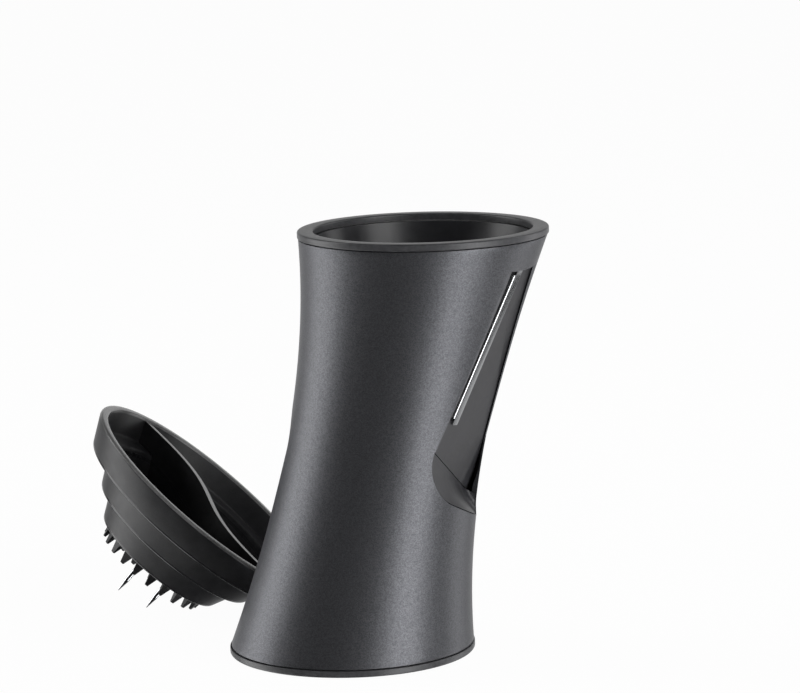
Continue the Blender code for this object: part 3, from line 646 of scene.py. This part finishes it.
def make_chute(name, place, finish):
    """The face and a back behind it, closed all round."""
    faces = chute_columns()
    last = len(faces) - 1
    bm = bmesh.new()
    grids = []
    for shift in (Vector(), Vector((0.0, 0.0, SCOOP_WALL))):
        grids.append([[bm.verts.new(point - shift) for point in column] for column in faces])
    for grid in grids:
        for i in range(last):
            for j in range(SCOOP_ROWS):
                bm.faces.new((grid[i][j], grid[i + 1][j], grid[i + 1][j + 1], grid[i][j + 1]))
    border = [(i, 0) for i in range(last + 1)] + [(last, j) for j in range(1, SCOOP_ROWS + 1)]
    border += [(i, SCOOP_ROWS) for i in range(last - 1, -1, -1)]
    border += [(0, j) for j in range(SCOOP_ROWS - 1, 0, -1)]
    for (i, j), (k, m) in zip(border, border[1:] + border[:1]):
        bm.faces.new((grids[0][i][j], grids[1][i][j], grids[1][k][m], grids[0][k][m]))
    return make_piece(name, bm, finish, place @ FLAT)


for side, place in ENDS.items():
    chute = make_chute(side + "_chute", place, plate_finish)
    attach(chute, "slicer")
    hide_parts(side + "_scoop")


# The blades: stainless strips fixed on the plates along the slot's far side. The near edge is
# bent in through the slot and ground sharp, and the face is brushed along the blade.
BLADE_THICKNESS = 0.0005
BLADE_BEND = 0.0022
BLADE_PLUNGE = 0.0036
BLADE_ROUND = 0.00015
BEND_ROUND = 0.0009
BLADE_SHARP = 20.0
STEEL_DARK = (0.50, 0.51, 0.53, 1.0)
STEEL_LIGHT = (0.68, 0.69, 0.71, 1.0)
GRAIN_ALONG = 60.0
GRAIN_ACROSS = 4000.0


def blade_steel(name, place):
    """Steel with fine scratches: long along the grain and close together across it."""
    finish = Finish(name)
    local = finish.node("ShaderNodeMapping", {"vector_type": "TEXTURE"}, {
        "Vector": finish.place(), "Location": place.to_translation(), "Rotation": place.to_euler()})
    drawn = finish.node("ShaderNodeVectorMath", {"operation": "MULTIPLY"},
                        {0: local, 1: (GRAIN_ACROSS, GRAIN_ALONG, GRAIN_ACROSS)})
    lines = finish.noise(drawn, scale=1.0, detail=4.0, roughness=0.6)
    cloud = finish.noise(finish.place(), scale=220.0, detail=3.0)
    colour = finish.blend(finish.vary(lines), STEEL_DARK, STEEL_LIGHT)
    scratched = finish.vary(lines, low=0.10, high=0.16)
    smeared = finish.spread(cloud, low=0.4, high=0.8, to_low=0.0, to_high=0.05)
    return finish.surface(Base_Color=colour, Metallic=1.0, Roughness=scratched + smeared,
                          Normal=finish.bump(lines, depth=0.00001, strength=0.2))


def blade_bar(name, corners, end, finish, place):
    """A bar along the blade on a rounded section, short of the blade's ends by a length."""
    bm = bmesh.new()
    section = rounded_outline(corners)
    rings = [[Vector((x, y, z)) for x, z in section] for y in (end, BLADE_LENGTH - end)]
    add_loft(bm, rings, closed=False)
    return make_piece(name, bm, finish, place @ BLADE_PLACE, BLADE_SHARP)


for side, place in ENDS.items():
    steel = blade_steel(side + "_blade_steel", place @ BLADE_PLACE)
    low = FIT_GAP - PLATE_RECESS
    top = low + BLADE_THICKNESS
    bend = -BLADE_WIDTH + BLADE_BEND
    inner = bend + BLADE_THICKNESS / 2
    corners = [(0.0, low, 0.0), (0.0, top, BLADE_ROUND), (bend, top, BEND_ROUND),
               (-BLADE_WIDTH, -BLADE_PLUNGE, 0.0), (inner, low, BLADE_ROUND)]
    ends = [(0.0, low, 0.0), (0.0, top, BLADE_ROUND), (inner, top, 0.0), (inner, low, 0.0)]
    blade = blade_bar(side + "_cutter", corners, 2 * SLOT_END, steel, place)
    carve(blade, blade_bar(side + "_cutter_ends", ends, 0.0, steel, place), "UNION")
    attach(blade, "slicer")
    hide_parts(side + "_blade")


# The combs: thin steel strips behind the slot's near side, each with a row of pointed teeth
# towards the blade. They stand wide apart at the upper end and close together at the lower.
COMB_TOOTH = 0.0018
COMB_PITCH = {"upper": 0.0040, "lower": 0.0022}


class Builder:
    """A Geometry Nodes tree while it is being written, on one object that holds its result."""

    def __init__(self, name, sizes):
        self.name = name
        self.sizes = sizes
        self.tree = bpy.data.node_groups.new(name, "GeometryNodeTree")
        for size, value in sizes.items():
            kind = "NodeSocketInt" if isinstance(value, int) else "NodeSocketFloat"
            self.tree.interface.new_socket(name=size, in_out="INPUT", socket_type=kind)
        self.tree.interface.new_socket(name="Geometry", in_out="OUTPUT", socket_type="NodeSocketGeometry")
        self.given = self.tree.nodes.new("NodeGroupInput")

    def size(self, name):
        return self.given.outputs[name]

    def node(self, kind, settings=None, sockets=None, out=0):
        made = self.tree.nodes.new(kind)
        for key, value in (settings or {}).items():
            setattr(made, key, value)
        for key, value in (sockets or {}).items():
            if isinstance(value, bpy.types.NodeSocket):
                self.tree.links.new(value, made.inputs[key])
            else:
                made.inputs[key].default_value = value
        return made.outputs[out]

    def math(self, operation, first, second=0.0):
        return self.node("ShaderNodeMath", {"operation": operation}, {0: first, 1: second})

    def finished(self, geometry, finish, place):
        """The tree's result as a plain mesh piece."""
        real = self.node("GeometryNodeRealizeInstances", {}, {0: geometry})
        covered = self.node("GeometryNodeSetMaterial", {}, {"Geometry": real, "Material": finish})
        ending = self.tree.nodes.new("NodeGroupOutput")
        self.tree.links.new(covered, ending.inputs[0])
        piece = bpy.data.objects.new(self.name, bpy.data.meshes.new(self.name))
        bpy.context.collection.objects.link(piece)
        step = piece.modifiers.new("tree", "NODES")
        step.node_group = self.tree
        for item in self.tree.interface.items_tree:
            if item.in_out == "INPUT":
                step[item.identifier] = self.sizes[item.name]
        settle(piece)
        if not piece.data.materials:
            piece.data.materials.append(finish)
        piece.data.transform(place)
        return piece


def make_comb(side, place, finish):
    """A strip with a row of wedge teeth, set out from the slot's lower end at an even pitch."""
    pitch = COMB_PITCH[side]
    count = int((BLADE_LENGTH - 4 * SLOT_END) / pitch)
    root = -BLADE_WIDTH - SLOT_NEAR + FIT_GAP
    start = (BLADE_LENGTH - count * pitch) / 2
    high = -PLATE_BACK - FIT_GAP
    comb = Builder(side + "_comb", {"Teeth": count, "Pitch": pitch, "Tooth length": COMB_TOOTH,
                                    "Strip width": COMB_STRIP_WIDTH, "Thickness": COMB_THICKNESS})
    # A three-sided wedge of radius 1 is 1.5 long and root 3 wide.
    wedge = comb.node("GeometryNodeMeshCylinder", {"fill_type": "NGON"},
                      {"Vertices": 3, "Radius": 1.0, "Depth": 1.0})
    reach = comb.math("DIVIDE", comb.size("Tooth length"), 1.5)
    wide = comb.math("DIVIDE", comb.size("Pitch"), math.sqrt(3.0))
    shape = comb.node("ShaderNodeCombineXYZ", {}, {0: reach, 1: wide, 2: comb.size("Thickness")})
    tooth = comb.node("GeometryNodeTransform", {}, {"Geometry": wedge, "Scale": shape})
    step = comb.node("ShaderNodeCombineXYZ", {}, {1: comb.size("Pitch")})
    first = comb.node("ShaderNodeCombineXYZ", {}, {1: comb.math("DIVIDE", comb.size("Pitch"), 2.0)})
    row = comb.node("GeometryNodeMeshLine", {}, {"Count": comb.size("Teeth"), "Start Location": first,
                                                 "Offset": step})
    inward = comb.node("ShaderNodeCombineXYZ", {}, {0: comb.math("DIVIDE", comb.size("Tooth length"), 3.0)})
    moved = comb.node("GeometryNodeSetPosition", {}, {"Geometry": row, "Offset": inward})
    teeth = comb.node("GeometryNodeInstanceOnPoints", {}, {"Points": moved, "Instance": tooth})
    long = comb.math("MULTIPLY", comb.size("Pitch"), comb.size("Teeth"))
    size = comb.node("ShaderNodeCombineXYZ", {}, {0: comb.size("Strip width"), 1: long,
                                                  2: comb.size("Thickness")})
    bar = comb.node("GeometryNodeMeshCube", {}, {"Size": size})
    middle = comb.node("ShaderNodeCombineXYZ", {}, {
        0: comb.math("DIVIDE", comb.size("Strip width"), -2.0), 1: comb.math("DIVIDE", long, 2.0)})
    strip = comb.node("GeometryNodeTransform", {}, {"Geometry": bar, "Translation": middle})
    join = comb.tree.nodes.new("GeometryNodeJoinGeometry")
    comb.tree.links.new(teeth, join.inputs[0])
    comb.tree.links.new(strip, join.inputs[0])
    corner = Matrix.Translation((root, start, high - COMB_THICKNESS / 2))
    return comb.finished(join.outputs[0], finish, place @ BLADE_PLACE @ corner)


for side, place in ENDS.items():
    comb_finish = blade_steel(side + "_comb_steel", place @ BLADE_PLACE)
    comb = make_comb(side, place, comb_finish)
    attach(comb, "slicer")
    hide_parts(side + "_strip_comb")


# The holder's cup: three tapered steps of fine-grained black plastic under a wide rim. It is
# turned on its own axis here, rim at z = 0 and teeth to -z, and then laid as the joint says.
HOLDER_DARK = (0.008, 0.008, 0.009, 1.0)
HOLDER_LIGHT = (0.022, 0.022, 0.024, 1.0)
HOLDER_RIM_RADIUS = 0.0518
HOLDER_RIM_FACE = 0.0035
HOLDER_WALL = 0.0028
HOLDER_FLOOR = 0.0025
TIER_DEPTHS = (0.0113, 0.0215, 0.0308)
TIER_TOP_RADII = (HOLDER_RIM_RADIUS, 0.0394, 0.0303)
TIER_BOTTOM_RADII = (0.0464, 0.0343, 0.0259)
TOOTH_PLATE_THICKNESS = 0.0015
TOOTH_PLATE_MARGIN = 0.0017
TIER_ROUND = 0.0009
EDGE_BAND = 0.6 * TIER_ROUND
# The pale grey of the painted highlight laid on the rim's face.
RIM_PAINTED_HIGHLIGHT = 0.20
EDGE_POLISH = 0.22
GRAIN_SHARE = 0.6
LEDGE_ROUND = 0.0012
CUP_SEGMENTS = 256
FLOOR_LOW = -TIER_DEPTHS[2] + TOOTH_PLATE_THICKNESS + FIT_GAP
FLOOR_TOP = FLOOR_LOW + HOLDER_FLOOR

holder_joint = [joint for joint in frame["joints"] if joint["name"] == "holder_turn"][0]
holder_axis = Vector(holder_joint["axis"]).normalized()
holder_heading = math.atan2(holder_axis.y, holder_axis.x)
HOLDER = Matrix.Translation(Vector(holder_joint["pos_m"])) @ Matrix.Rotation(
    holder_heading, 4, "Z") @ Matrix.Rotation(math.acos(holder_axis.z), 4, "Y")


def holder_plastic():
    """Black with a fine grain. The rim's face carries a painted highlight, and the steps' edges are polished.
    """
    finish = Finish("holder_plastic")
    where = finish.place()
    grain = finish.noise(where, scale=2300.0, detail=3.0, roughness=0.65)
    cloud = finish.noise(where, scale=300.0, detail=3.0)
    mottle = finish.vary(grain * GRAIN_SHARE + cloud * (1.0 - GRAIN_SHARE))
    colour = finish.blend(mottle, HOLDER_DARK, HOLDER_LIGHT)
    local = finish.node("ShaderNodeMapping", {"vector_type": "TEXTURE"}, {
        "Vector": where, "Location": HOLDER.to_translation(), "Rotation": HOLDER.to_euler()})
    height = finish.node("ShaderNodeSeparateXYZ", {}, {0: local}, out=2)
    rim = height > -TIER_ROUND
    edges = rim
    for depth in TIER_DEPTHS:
        edges = edges + finish.node("ShaderNodeMath", {"operation": "COMPARE"}, {
            0: height, 1: TIER_ROUND / 2 - depth, 2: EDGE_BAND})
    # Painted highlight: the rim's face, found by height on the holder's axis, is lightened towards a pale
    # grey and broken up by the grain.
    highlight_grain = 1.0 - GRAIN_SHARE + grain * GRAIN_SHARE
    rim_painted_highlight = finish.blend(rim * highlight_grain, colour, grey(RIM_PAINTED_HIGHLIGHT))
    skin = finish.vary(cloud, low=0.38, high=0.46)
    return finish.surface(Base_Color=rim_painted_highlight, Roughness=skin - edges * EDGE_POLISH,
                          Normal=finish.bump(grain, depth=0.00005, strength=0.5), Specular_IOR_Level=0.35)


def tier_radius(tier, height):
    """The outer radius of a step's tapered wall at a height."""
    tops = (0.0,) + TIER_DEPTHS[:-1]
    share = (-height - tops[tier]) / (TIER_DEPTHS[tier] - tops[tier])
    return TIER_TOP_RADII[tier] + (TIER_BOTTOM_RADII[tier] - TIER_TOP_RADII[tier]) * share


def hollow_corners(shrink):
    """The cup's stepped inside from its floor up to its rim, drawn in by a gap."""
    inner = HOLDER_WALL + shrink
    corners = [(tier_radius(2, FLOOR_TOP) - inner, FLOOR_TOP + shrink, LEDGE_ROUND)]
    for tier in (2, 1):
        height = -TIER_DEPTHS[tier - 1] + HOLDER_FLOOR + shrink
        corners.append((tier_radius(tier, height) - inner, height, LEDGE_ROUND))
        corners.append((tier_radius(tier - 1, height) - inner, height, LEDGE_ROUND))
    return corners


holder_finish = holder_plastic()
seat = TIER_BOTTOM_RADII[2] - TOOTH_PLATE_MARGIN + FIT_GAP
cup_corners = [(HOLDER_RIM_RADIUS, 0.0, TIER_ROUND), (TIER_BOTTOM_RADII[0], -TIER_DEPTHS[0], TIER_ROUND)]
for tier in (1, 2):
    cup_corners.append((TIER_TOP_RADII[tier], -TIER_DEPTHS[tier - 1], TIER_ROUND))
    cup_corners.append((TIER_BOTTOM_RADII[tier], -TIER_DEPTHS[tier], TIER_ROUND))
cup_corners += [(seat, -TIER_DEPTHS[2], 0.0), (seat, FLOOR_LOW, 0.0), (0.0, FLOOR_LOW, 0.0),
                (0.0, FLOOR_TOP, 0.0)]
cup_corners += hollow_corners(0.0)
cup_corners += [(HOLDER_RIM_RADIUS - HOLDER_RIM_FACE, 0.0, TIER_ROUND / 2)]
bm = bmesh.new()
add_turned(bm, rounded_outline(cup_corners), CUP_SEGMENTS)
cup = make_piece("holder_cup", bm, holder_finish, HOLDER, ROUND_SHARP)
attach(cup, "holder")
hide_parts("holder_shell")


# The grip wall: an S-shaped web moulded across the cup, as deep as the cup, that the fingers
# push on from both sides. Its top runs just under the rim.
WEB_THICKNESS = 0.0024
WEB_BELOW_RIM = 0.0008
WEB_SWAY = 0.0071
WEB_ANGLE = math.radians(137.0)
WEB_STEPS = 96
RETAINER_RADIUS = 0.0121
RETAINER_THICKNESS = 0.0012
SPIKE_HEAD = 0.0008
RETAINER_LOW = FLOOR_TOP + 2 * FIT_GAP + SPIKE_HEAD
RETAINER_TOP = RETAINER_LOW + RETAINER_THICKNESS


def web_outline():
    """Both sides of the wall, offset from a sine of which one whole wave crosses the cup."""
    chord = Vector((math.cos(WEB_ANGLE), math.sin(WEB_ANGLE)))
    side = Vector((-chord.y, chord.x))
    half = HOLDER_RIM_RADIUS - HOLDER_RIM_FACE
    left = []
    right = []
    for i in range(WEB_STEPS + 1):
        spot = -HOLDER_RIM_RADIUS + 2 * HOLDER_RIM_RADIUS * i / WEB_STEPS
        phase = math.pi * spot / half
        middle = chord * spot - side * WEB_SWAY * math.sin(phase)
        tilt = -WEB_SWAY * math.pi / half * math.cos(phase)
        offset = (side - chord * tilt).normalized() * WEB_THICKNESS / 2
        left.append(middle + offset)
        right.append(middle - offset)
    return right + left[::-1]


web = prism("holder_web", web_outline(), 2 * FLOOR_LOW, -WEB_BELOW_RIM, HOLDER, holder_finish)
bm = bmesh.new()
hollow = [(0.0, FLOOR_TOP + FIT_GAP, 0.0)] + hollow_corners(FIT_GAP)
hollow += [(HOLDER_RIM_RADIUS - HOLDER_RIM_FACE - FIT_GAP, 0.0, 0.0), (0.0, 0.0, 0.0)]
add_turned(bm, rounded_outline(hollow), CUP_SEGMENTS)
carve(web, make_piece("hollow_form", bm, None, HOLDER), "INTERSECT")
bm = bmesh.new()
clear = RETAINER_RADIUS + 2 * FIT_GAP
add_turned(bm, [(0.0, 2 * FLOOR_LOW), (clear, 2 * FLOOR_LOW), (clear, RETAINER_TOP + FIT_GAP),
                (0.0, RETAINER_TOP + FIT_GAP)], CUP_SEGMENTS)
carve(web, make_piece("retainer_room", bm, None, HOLDER))
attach(web, "holder")
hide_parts("holder_grip_web")


# The tooth disc: a round plate let into the cup's underside. Two circles of blunt moulded teeth
# stand on it and give the holder its grip.
OUTER_TEETH = 22
INNER_TEETH = 11
OUTER_TOOTH_CIRCLE = 0.0215
INNER_TOOTH_CIRCLE = 0.0145
TOOTH_LENGTH = 0.0050
INNER_TOOTH_SHARE = 0.85
TOOTH_WIDTH = 0.0040
TOOTH_DEPTH = 0.0026
TOOTH_TIP = 0.0008
TOOTH_PHASE = math.radians(12.0)
SPIKES = 3
SPIKE_CIRCLE = 0.0080
SPIKE_RADIUS = 0.0009
SPIKE_ANGLE = math.radians(357.0)
HOLE_SEGMENTS = 48
DISC_ROUND = 0.0003


def make_teeth(name, count, radius, length, finish):
    """Blunt four-sided teeth on a circle, each turned to face outwards."""
    ring = Builder(name, {"Teeth": count, "Circle radius": radius, "Tooth length": length,
                          "Root width": TOOTH_WIDTH, "Root depth": TOOTH_DEPTH, "Tip width": TOOTH_TIP,
                          "Root sunk": TOOTH_PLATE_THICKNESS / 2})
    tall = ring.math("ADD", ring.size("Tooth length"), ring.size("Root sunk"))
    narrow = ring.math("DIVIDE", ring.size("Tip width"), ring.size("Root depth"))
    # A four-sided cone of this radius, turned by 45 degrees, has a side of 1.
    unit = math.sqrt(0.5)
    tooth = ring.node("GeometryNodeMeshCone", {"fill_type": "NGON"}, {
        "Vertices": 4, "Radius Top": unit, "Radius Bottom": ring.math("MULTIPLY", narrow, unit),
        "Depth": tall})
    square = ring.node("FunctionNodeEulerToRotation", {}, {0: (0.0, 0.0, math.pi / 4)})
    turned = ring.node("GeometryNodeTransform", {}, {"Geometry": tooth, "Rotation": square})
    shape = ring.node("ShaderNodeCombineXYZ", {}, {0: ring.size("Root depth"), 1: ring.size("Root width"),
                                                   2: 1.0})
    shaped = ring.node("GeometryNodeTransform", {}, {"Geometry": turned, "Scale": shape})
    points = ring.node("GeometryNodeMeshCircle", {"fill_type": "NONE"}, {
        "Vertices": ring.size("Teeth"), "Radius": ring.size("Circle radius")})
    step = ring.math("DIVIDE", 2 * math.pi, ring.size("Teeth"))
    turn = ring.math("MULTIPLY", ring.node("GeometryNodeInputIndex"), step)
    upright = ring.node("ShaderNodeCombineXYZ", {}, {2: turn})
    facing = ring.node("FunctionNodeEulerToRotation", {}, {0: upright})
    teeth = ring.node("GeometryNodeInstanceOnPoints", {}, {"Points": points, "Instance": shaped,
                                                           "Rotation": facing})
    low = Matrix.Translation((0.0, 0.0, -TIER_DEPTHS[2] - length))
    return ring.finished(teeth, finish, HOLDER @ low @ Matrix.Rotation(TOOTH_PHASE, 4, "Z"))


def spike_places():
    turns = [SPIKE_ANGLE + 2 * math.pi * i / SPIKES for i in range(SPIKES)]
    return [Vector((SPIKE_CIRCLE * math.cos(turn), SPIKE_CIRCLE * math.sin(turn))) for turn in turns]


disc_radius = TIER_BOTTOM_RADII[2] - TOOTH_PLATE_MARGIN
disc_top = -TIER_DEPTHS[2] + TOOTH_PLATE_THICKNESS
bm = bmesh.new()
add_turned(bm, rounded_outline([(0.0, -TIER_DEPTHS[2], 0.0), (disc_radius, -TIER_DEPTHS[2], DISC_ROUND),
                                (disc_radius, disc_top, 0.0), (0.0, disc_top, 0.0)]), CUP_SEGMENTS)
disc = make_piece("holder_tooth_disc", bm, holder_finish, HOLDER)
for spot in spike_places():
    bm = bmesh.new()
    hole = SPIKE_RADIUS + FIT_GAP / 2
    add_turned(bm, [(0.0, 2 * FLOOR_LOW), (hole, 2 * FLOOR_LOW), (hole, 0.0), (0.0, 0.0)], HOLE_SEGMENTS)
    carve(disc, make_piece("spike_hole", bm, None, HOLDER @ Matrix.Translation((*spot, 0.0))))
rows = [disc, make_teeth("holder_outer_teeth", OUTER_TEETH, OUTER_TOOTH_CIRCLE, TOOTH_LENGTH, holder_finish),
        make_teeth("holder_inner_teeth", INNER_TEETH, INNER_TOOTH_CIRCLE, INNER_TOOTH_SHARE * TOOTH_LENGTH,
                   holder_finish)]
for piece in rows:
    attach(piece, "holder")
    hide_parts("holder_tooth_plate")


# The spikes: three polished steel pins that reach past the teeth. Each is pressed through the
# floor, with a flat head inside and a long ground point.
SPIKE_LENGTH = 0.0170
SPIKE_POINT = 0.0052
SPIKE_TIP_RADIUS = 0.00012
SPIKE_HEAD_RADIUS = 0.0022
SPIKE_SHOULDER_ROUND = 0.002
HEAD_EDGE_ROUND = 0.0001
HEAD_TOP_ROUND = 0.0002
SPIKE_DARK = (0.62, 0.63, 0.65, 1.0)
SPIKE_LIGHT = (0.74, 0.75, 0.77, 1.0)


def spike_steel():
    finish = Finish("spike_steel")
    where = finish.place()
    cloud = finish.noise(where, scale=900.0, detail=3.0)
    colour = finish.blend(cloud, SPIKE_DARK, SPIKE_LIGHT)
    rough = finish.vary(cloud, low=0.14, high=0.24)
    return finish.surface(Base_Color=colour, Metallic=1.0, Roughness=rough)


spike_finish = spike_steel()
spike_tip = -TIER_DEPTHS[2] - SPIKE_LENGTH
head_low = FLOOR_TOP + FIT_GAP
for number, spot in enumerate(spike_places()):
    bm = bmesh.new()
    add_turned(bm, rounded_outline([
        (0.0, spike_tip, 0.0), (SPIKE_TIP_RADIUS, spike_tip, 0.0),
        (SPIKE_RADIUS, spike_tip + SPIKE_POINT, SPIKE_SHOULDER_ROUND), (SPIKE_RADIUS, head_low, 0.0),
        (SPIKE_HEAD_RADIUS, head_low, HEAD_EDGE_ROUND),
        (SPIKE_HEAD_RADIUS, head_low + SPIKE_HEAD, HEAD_TOP_ROUND), (0.0, head_low + SPIKE_HEAD, 0.0)]),
        HOLE_SEGMENTS)
    name = "spike_" + str(number + 1)
    spike = make_piece(name, bm, spike_finish, HOLDER @ Matrix.Translation((*spot, 0.0)))
    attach(spike, "holder")
    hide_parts("holder_" + name)


# The retainer: a thin round disc of the cup's plastic, pressed over the spikes' heads. It lies in
# the cup's floor under the grip wall, and the holder's turning joint goes through its middle.
bm = bmesh.new()
add_turned(bm, rounded_outline([
    (0.0, RETAINER_LOW, 0.0), (RETAINER_RADIUS, RETAINER_LOW, 0.0),
    (RETAINER_RADIUS, RETAINER_TOP, DISC_ROUND), (0.0, RETAINER_TOP, 0.0)]), CUP_SEGMENTS)
retainer = make_piece("spike_retainer", bm, holder_finish, HOLDER)
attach(retainer, "retainer")
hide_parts("holder_spike_retainer")


# Stage: a pale floor and background, and soft studio lamps. Tall soft boxes stand at the left, at
# the front right and behind on the right, and each draws one long soft light down the casing.
FLOOR_SIZE = 6.0
FLOOR_DROP = 0.0002
FLOOR_TONE = 0.9
FLOOR_GLOW = 0.97
AMBIENT = 0.18
STUDIO_DARK = 0.015
BACKDROP_START = 0.70
LAMP_DISTANCE = 1.2
LAMP_HEIGHT = -0.20
LAMP_TALL = 3.4


def floor_finish():
    """Nearly all glow to the camera, and a plain pale surface to scattered light."""
    finish = Finish("floor_white")
    seen = finish.node("ShaderNodeLightPath")
    lit = finish.node("ShaderNodeBsdfDiffuse", {}, {"Color": grey(FLOOR_TONE)})
    glow = finish.node("ShaderNodeEmission", {}, {"Color": grey(1.0), "Strength": 1.0})
    mixed = finish.node("ShaderNodeMixShader", {}, {0: seen * FLOOR_GLOW, 1: lit, 2: glow})
    finish.node("ShaderNodeOutputMaterial", {}, {"Surface": mixed})
    return finish.material


bm = bmesh.new()
bmesh.ops.create_grid(bm, x_segments=1, y_segments=1, size=FLOOR_SIZE)
floor = make_piece("floor", bm, floor_finish(), Matrix.Translation((0.0, 0.0, -FLOOR_DROP)))
floor.visible_shadow = False
floor.visible_glossy = False

# The background is white to the camera and through gaps. A mirrored ray meets it white only
# straight behind the object, and a dark studio elsewhere.
world = bpy.data.worlds.new("studio")
bpy.context.scene.world = world
sky = Finish(world)
seen = sky.node("ShaderNodeLightPath")
mirrored = sky.node("ShaderNodeLightPath", out=3)
through = sky.node("ShaderNodeLightPath", out=6)
heading = sky.node("ShaderNodeTexCoord")
behind = sky.node("ShaderNodeVectorMath", {"operation": "DOT_PRODUCT"}, {0: heading, 1: -away}, out=1)
studio = sky.spread(behind, low=BACKDROP_START, high=1.0, to_low=STUDIO_DARK, to_high=1.0)
level = AMBIENT + (seen + through) * (1.0 - AMBIENT) + mirrored * (studio - AMBIENT)
backdrop = sky.node("ShaderNodeBackground", {}, {"Color": grey(1.0), "Strength": level})
sky.node("ShaderNodeOutputWorld", {}, {"Surface": backdrop})


def soft_box(name, turn, wide, radiance):
    """An upright soft box that stands at a turn to the right of the camera and faces the slicer."""
    lamp = bpy.data.objects.new(name, bpy.data.lights.new(name, "AREA"))
    bpy.context.collection.objects.link(lamp)
    lamp.data.shape = "RECTANGLE"
    lamp.data.size = wide
    lamp.data.size_y = LAMP_TALL
    lamp.data.energy = radiance * math.pi * wide * LAMP_TALL
    bearing = CAMERA_AZIMUTH + math.radians(turn)
    out = Vector((math.sin(bearing), -math.cos(bearing), 0.0))
    lamp.location = slicer_place + out * LAMP_DISTANCE + Vector((0.0, 0.0, LAMP_HEIGHT))
    lamp.rotation_mode = "QUATERNION"
    lamp.rotation_quaternion = (-out).to_track_quat("-Z", "Y")


soft_box("left_lamp", turn=-104.0, wide=0.80, radiance=3.2)
soft_box("right_lamp", turn=47.0, wide=0.70, radiance=4.2)
soft_box("edge_lamp", turn=116.0, wide=0.45, radiance=2.0)
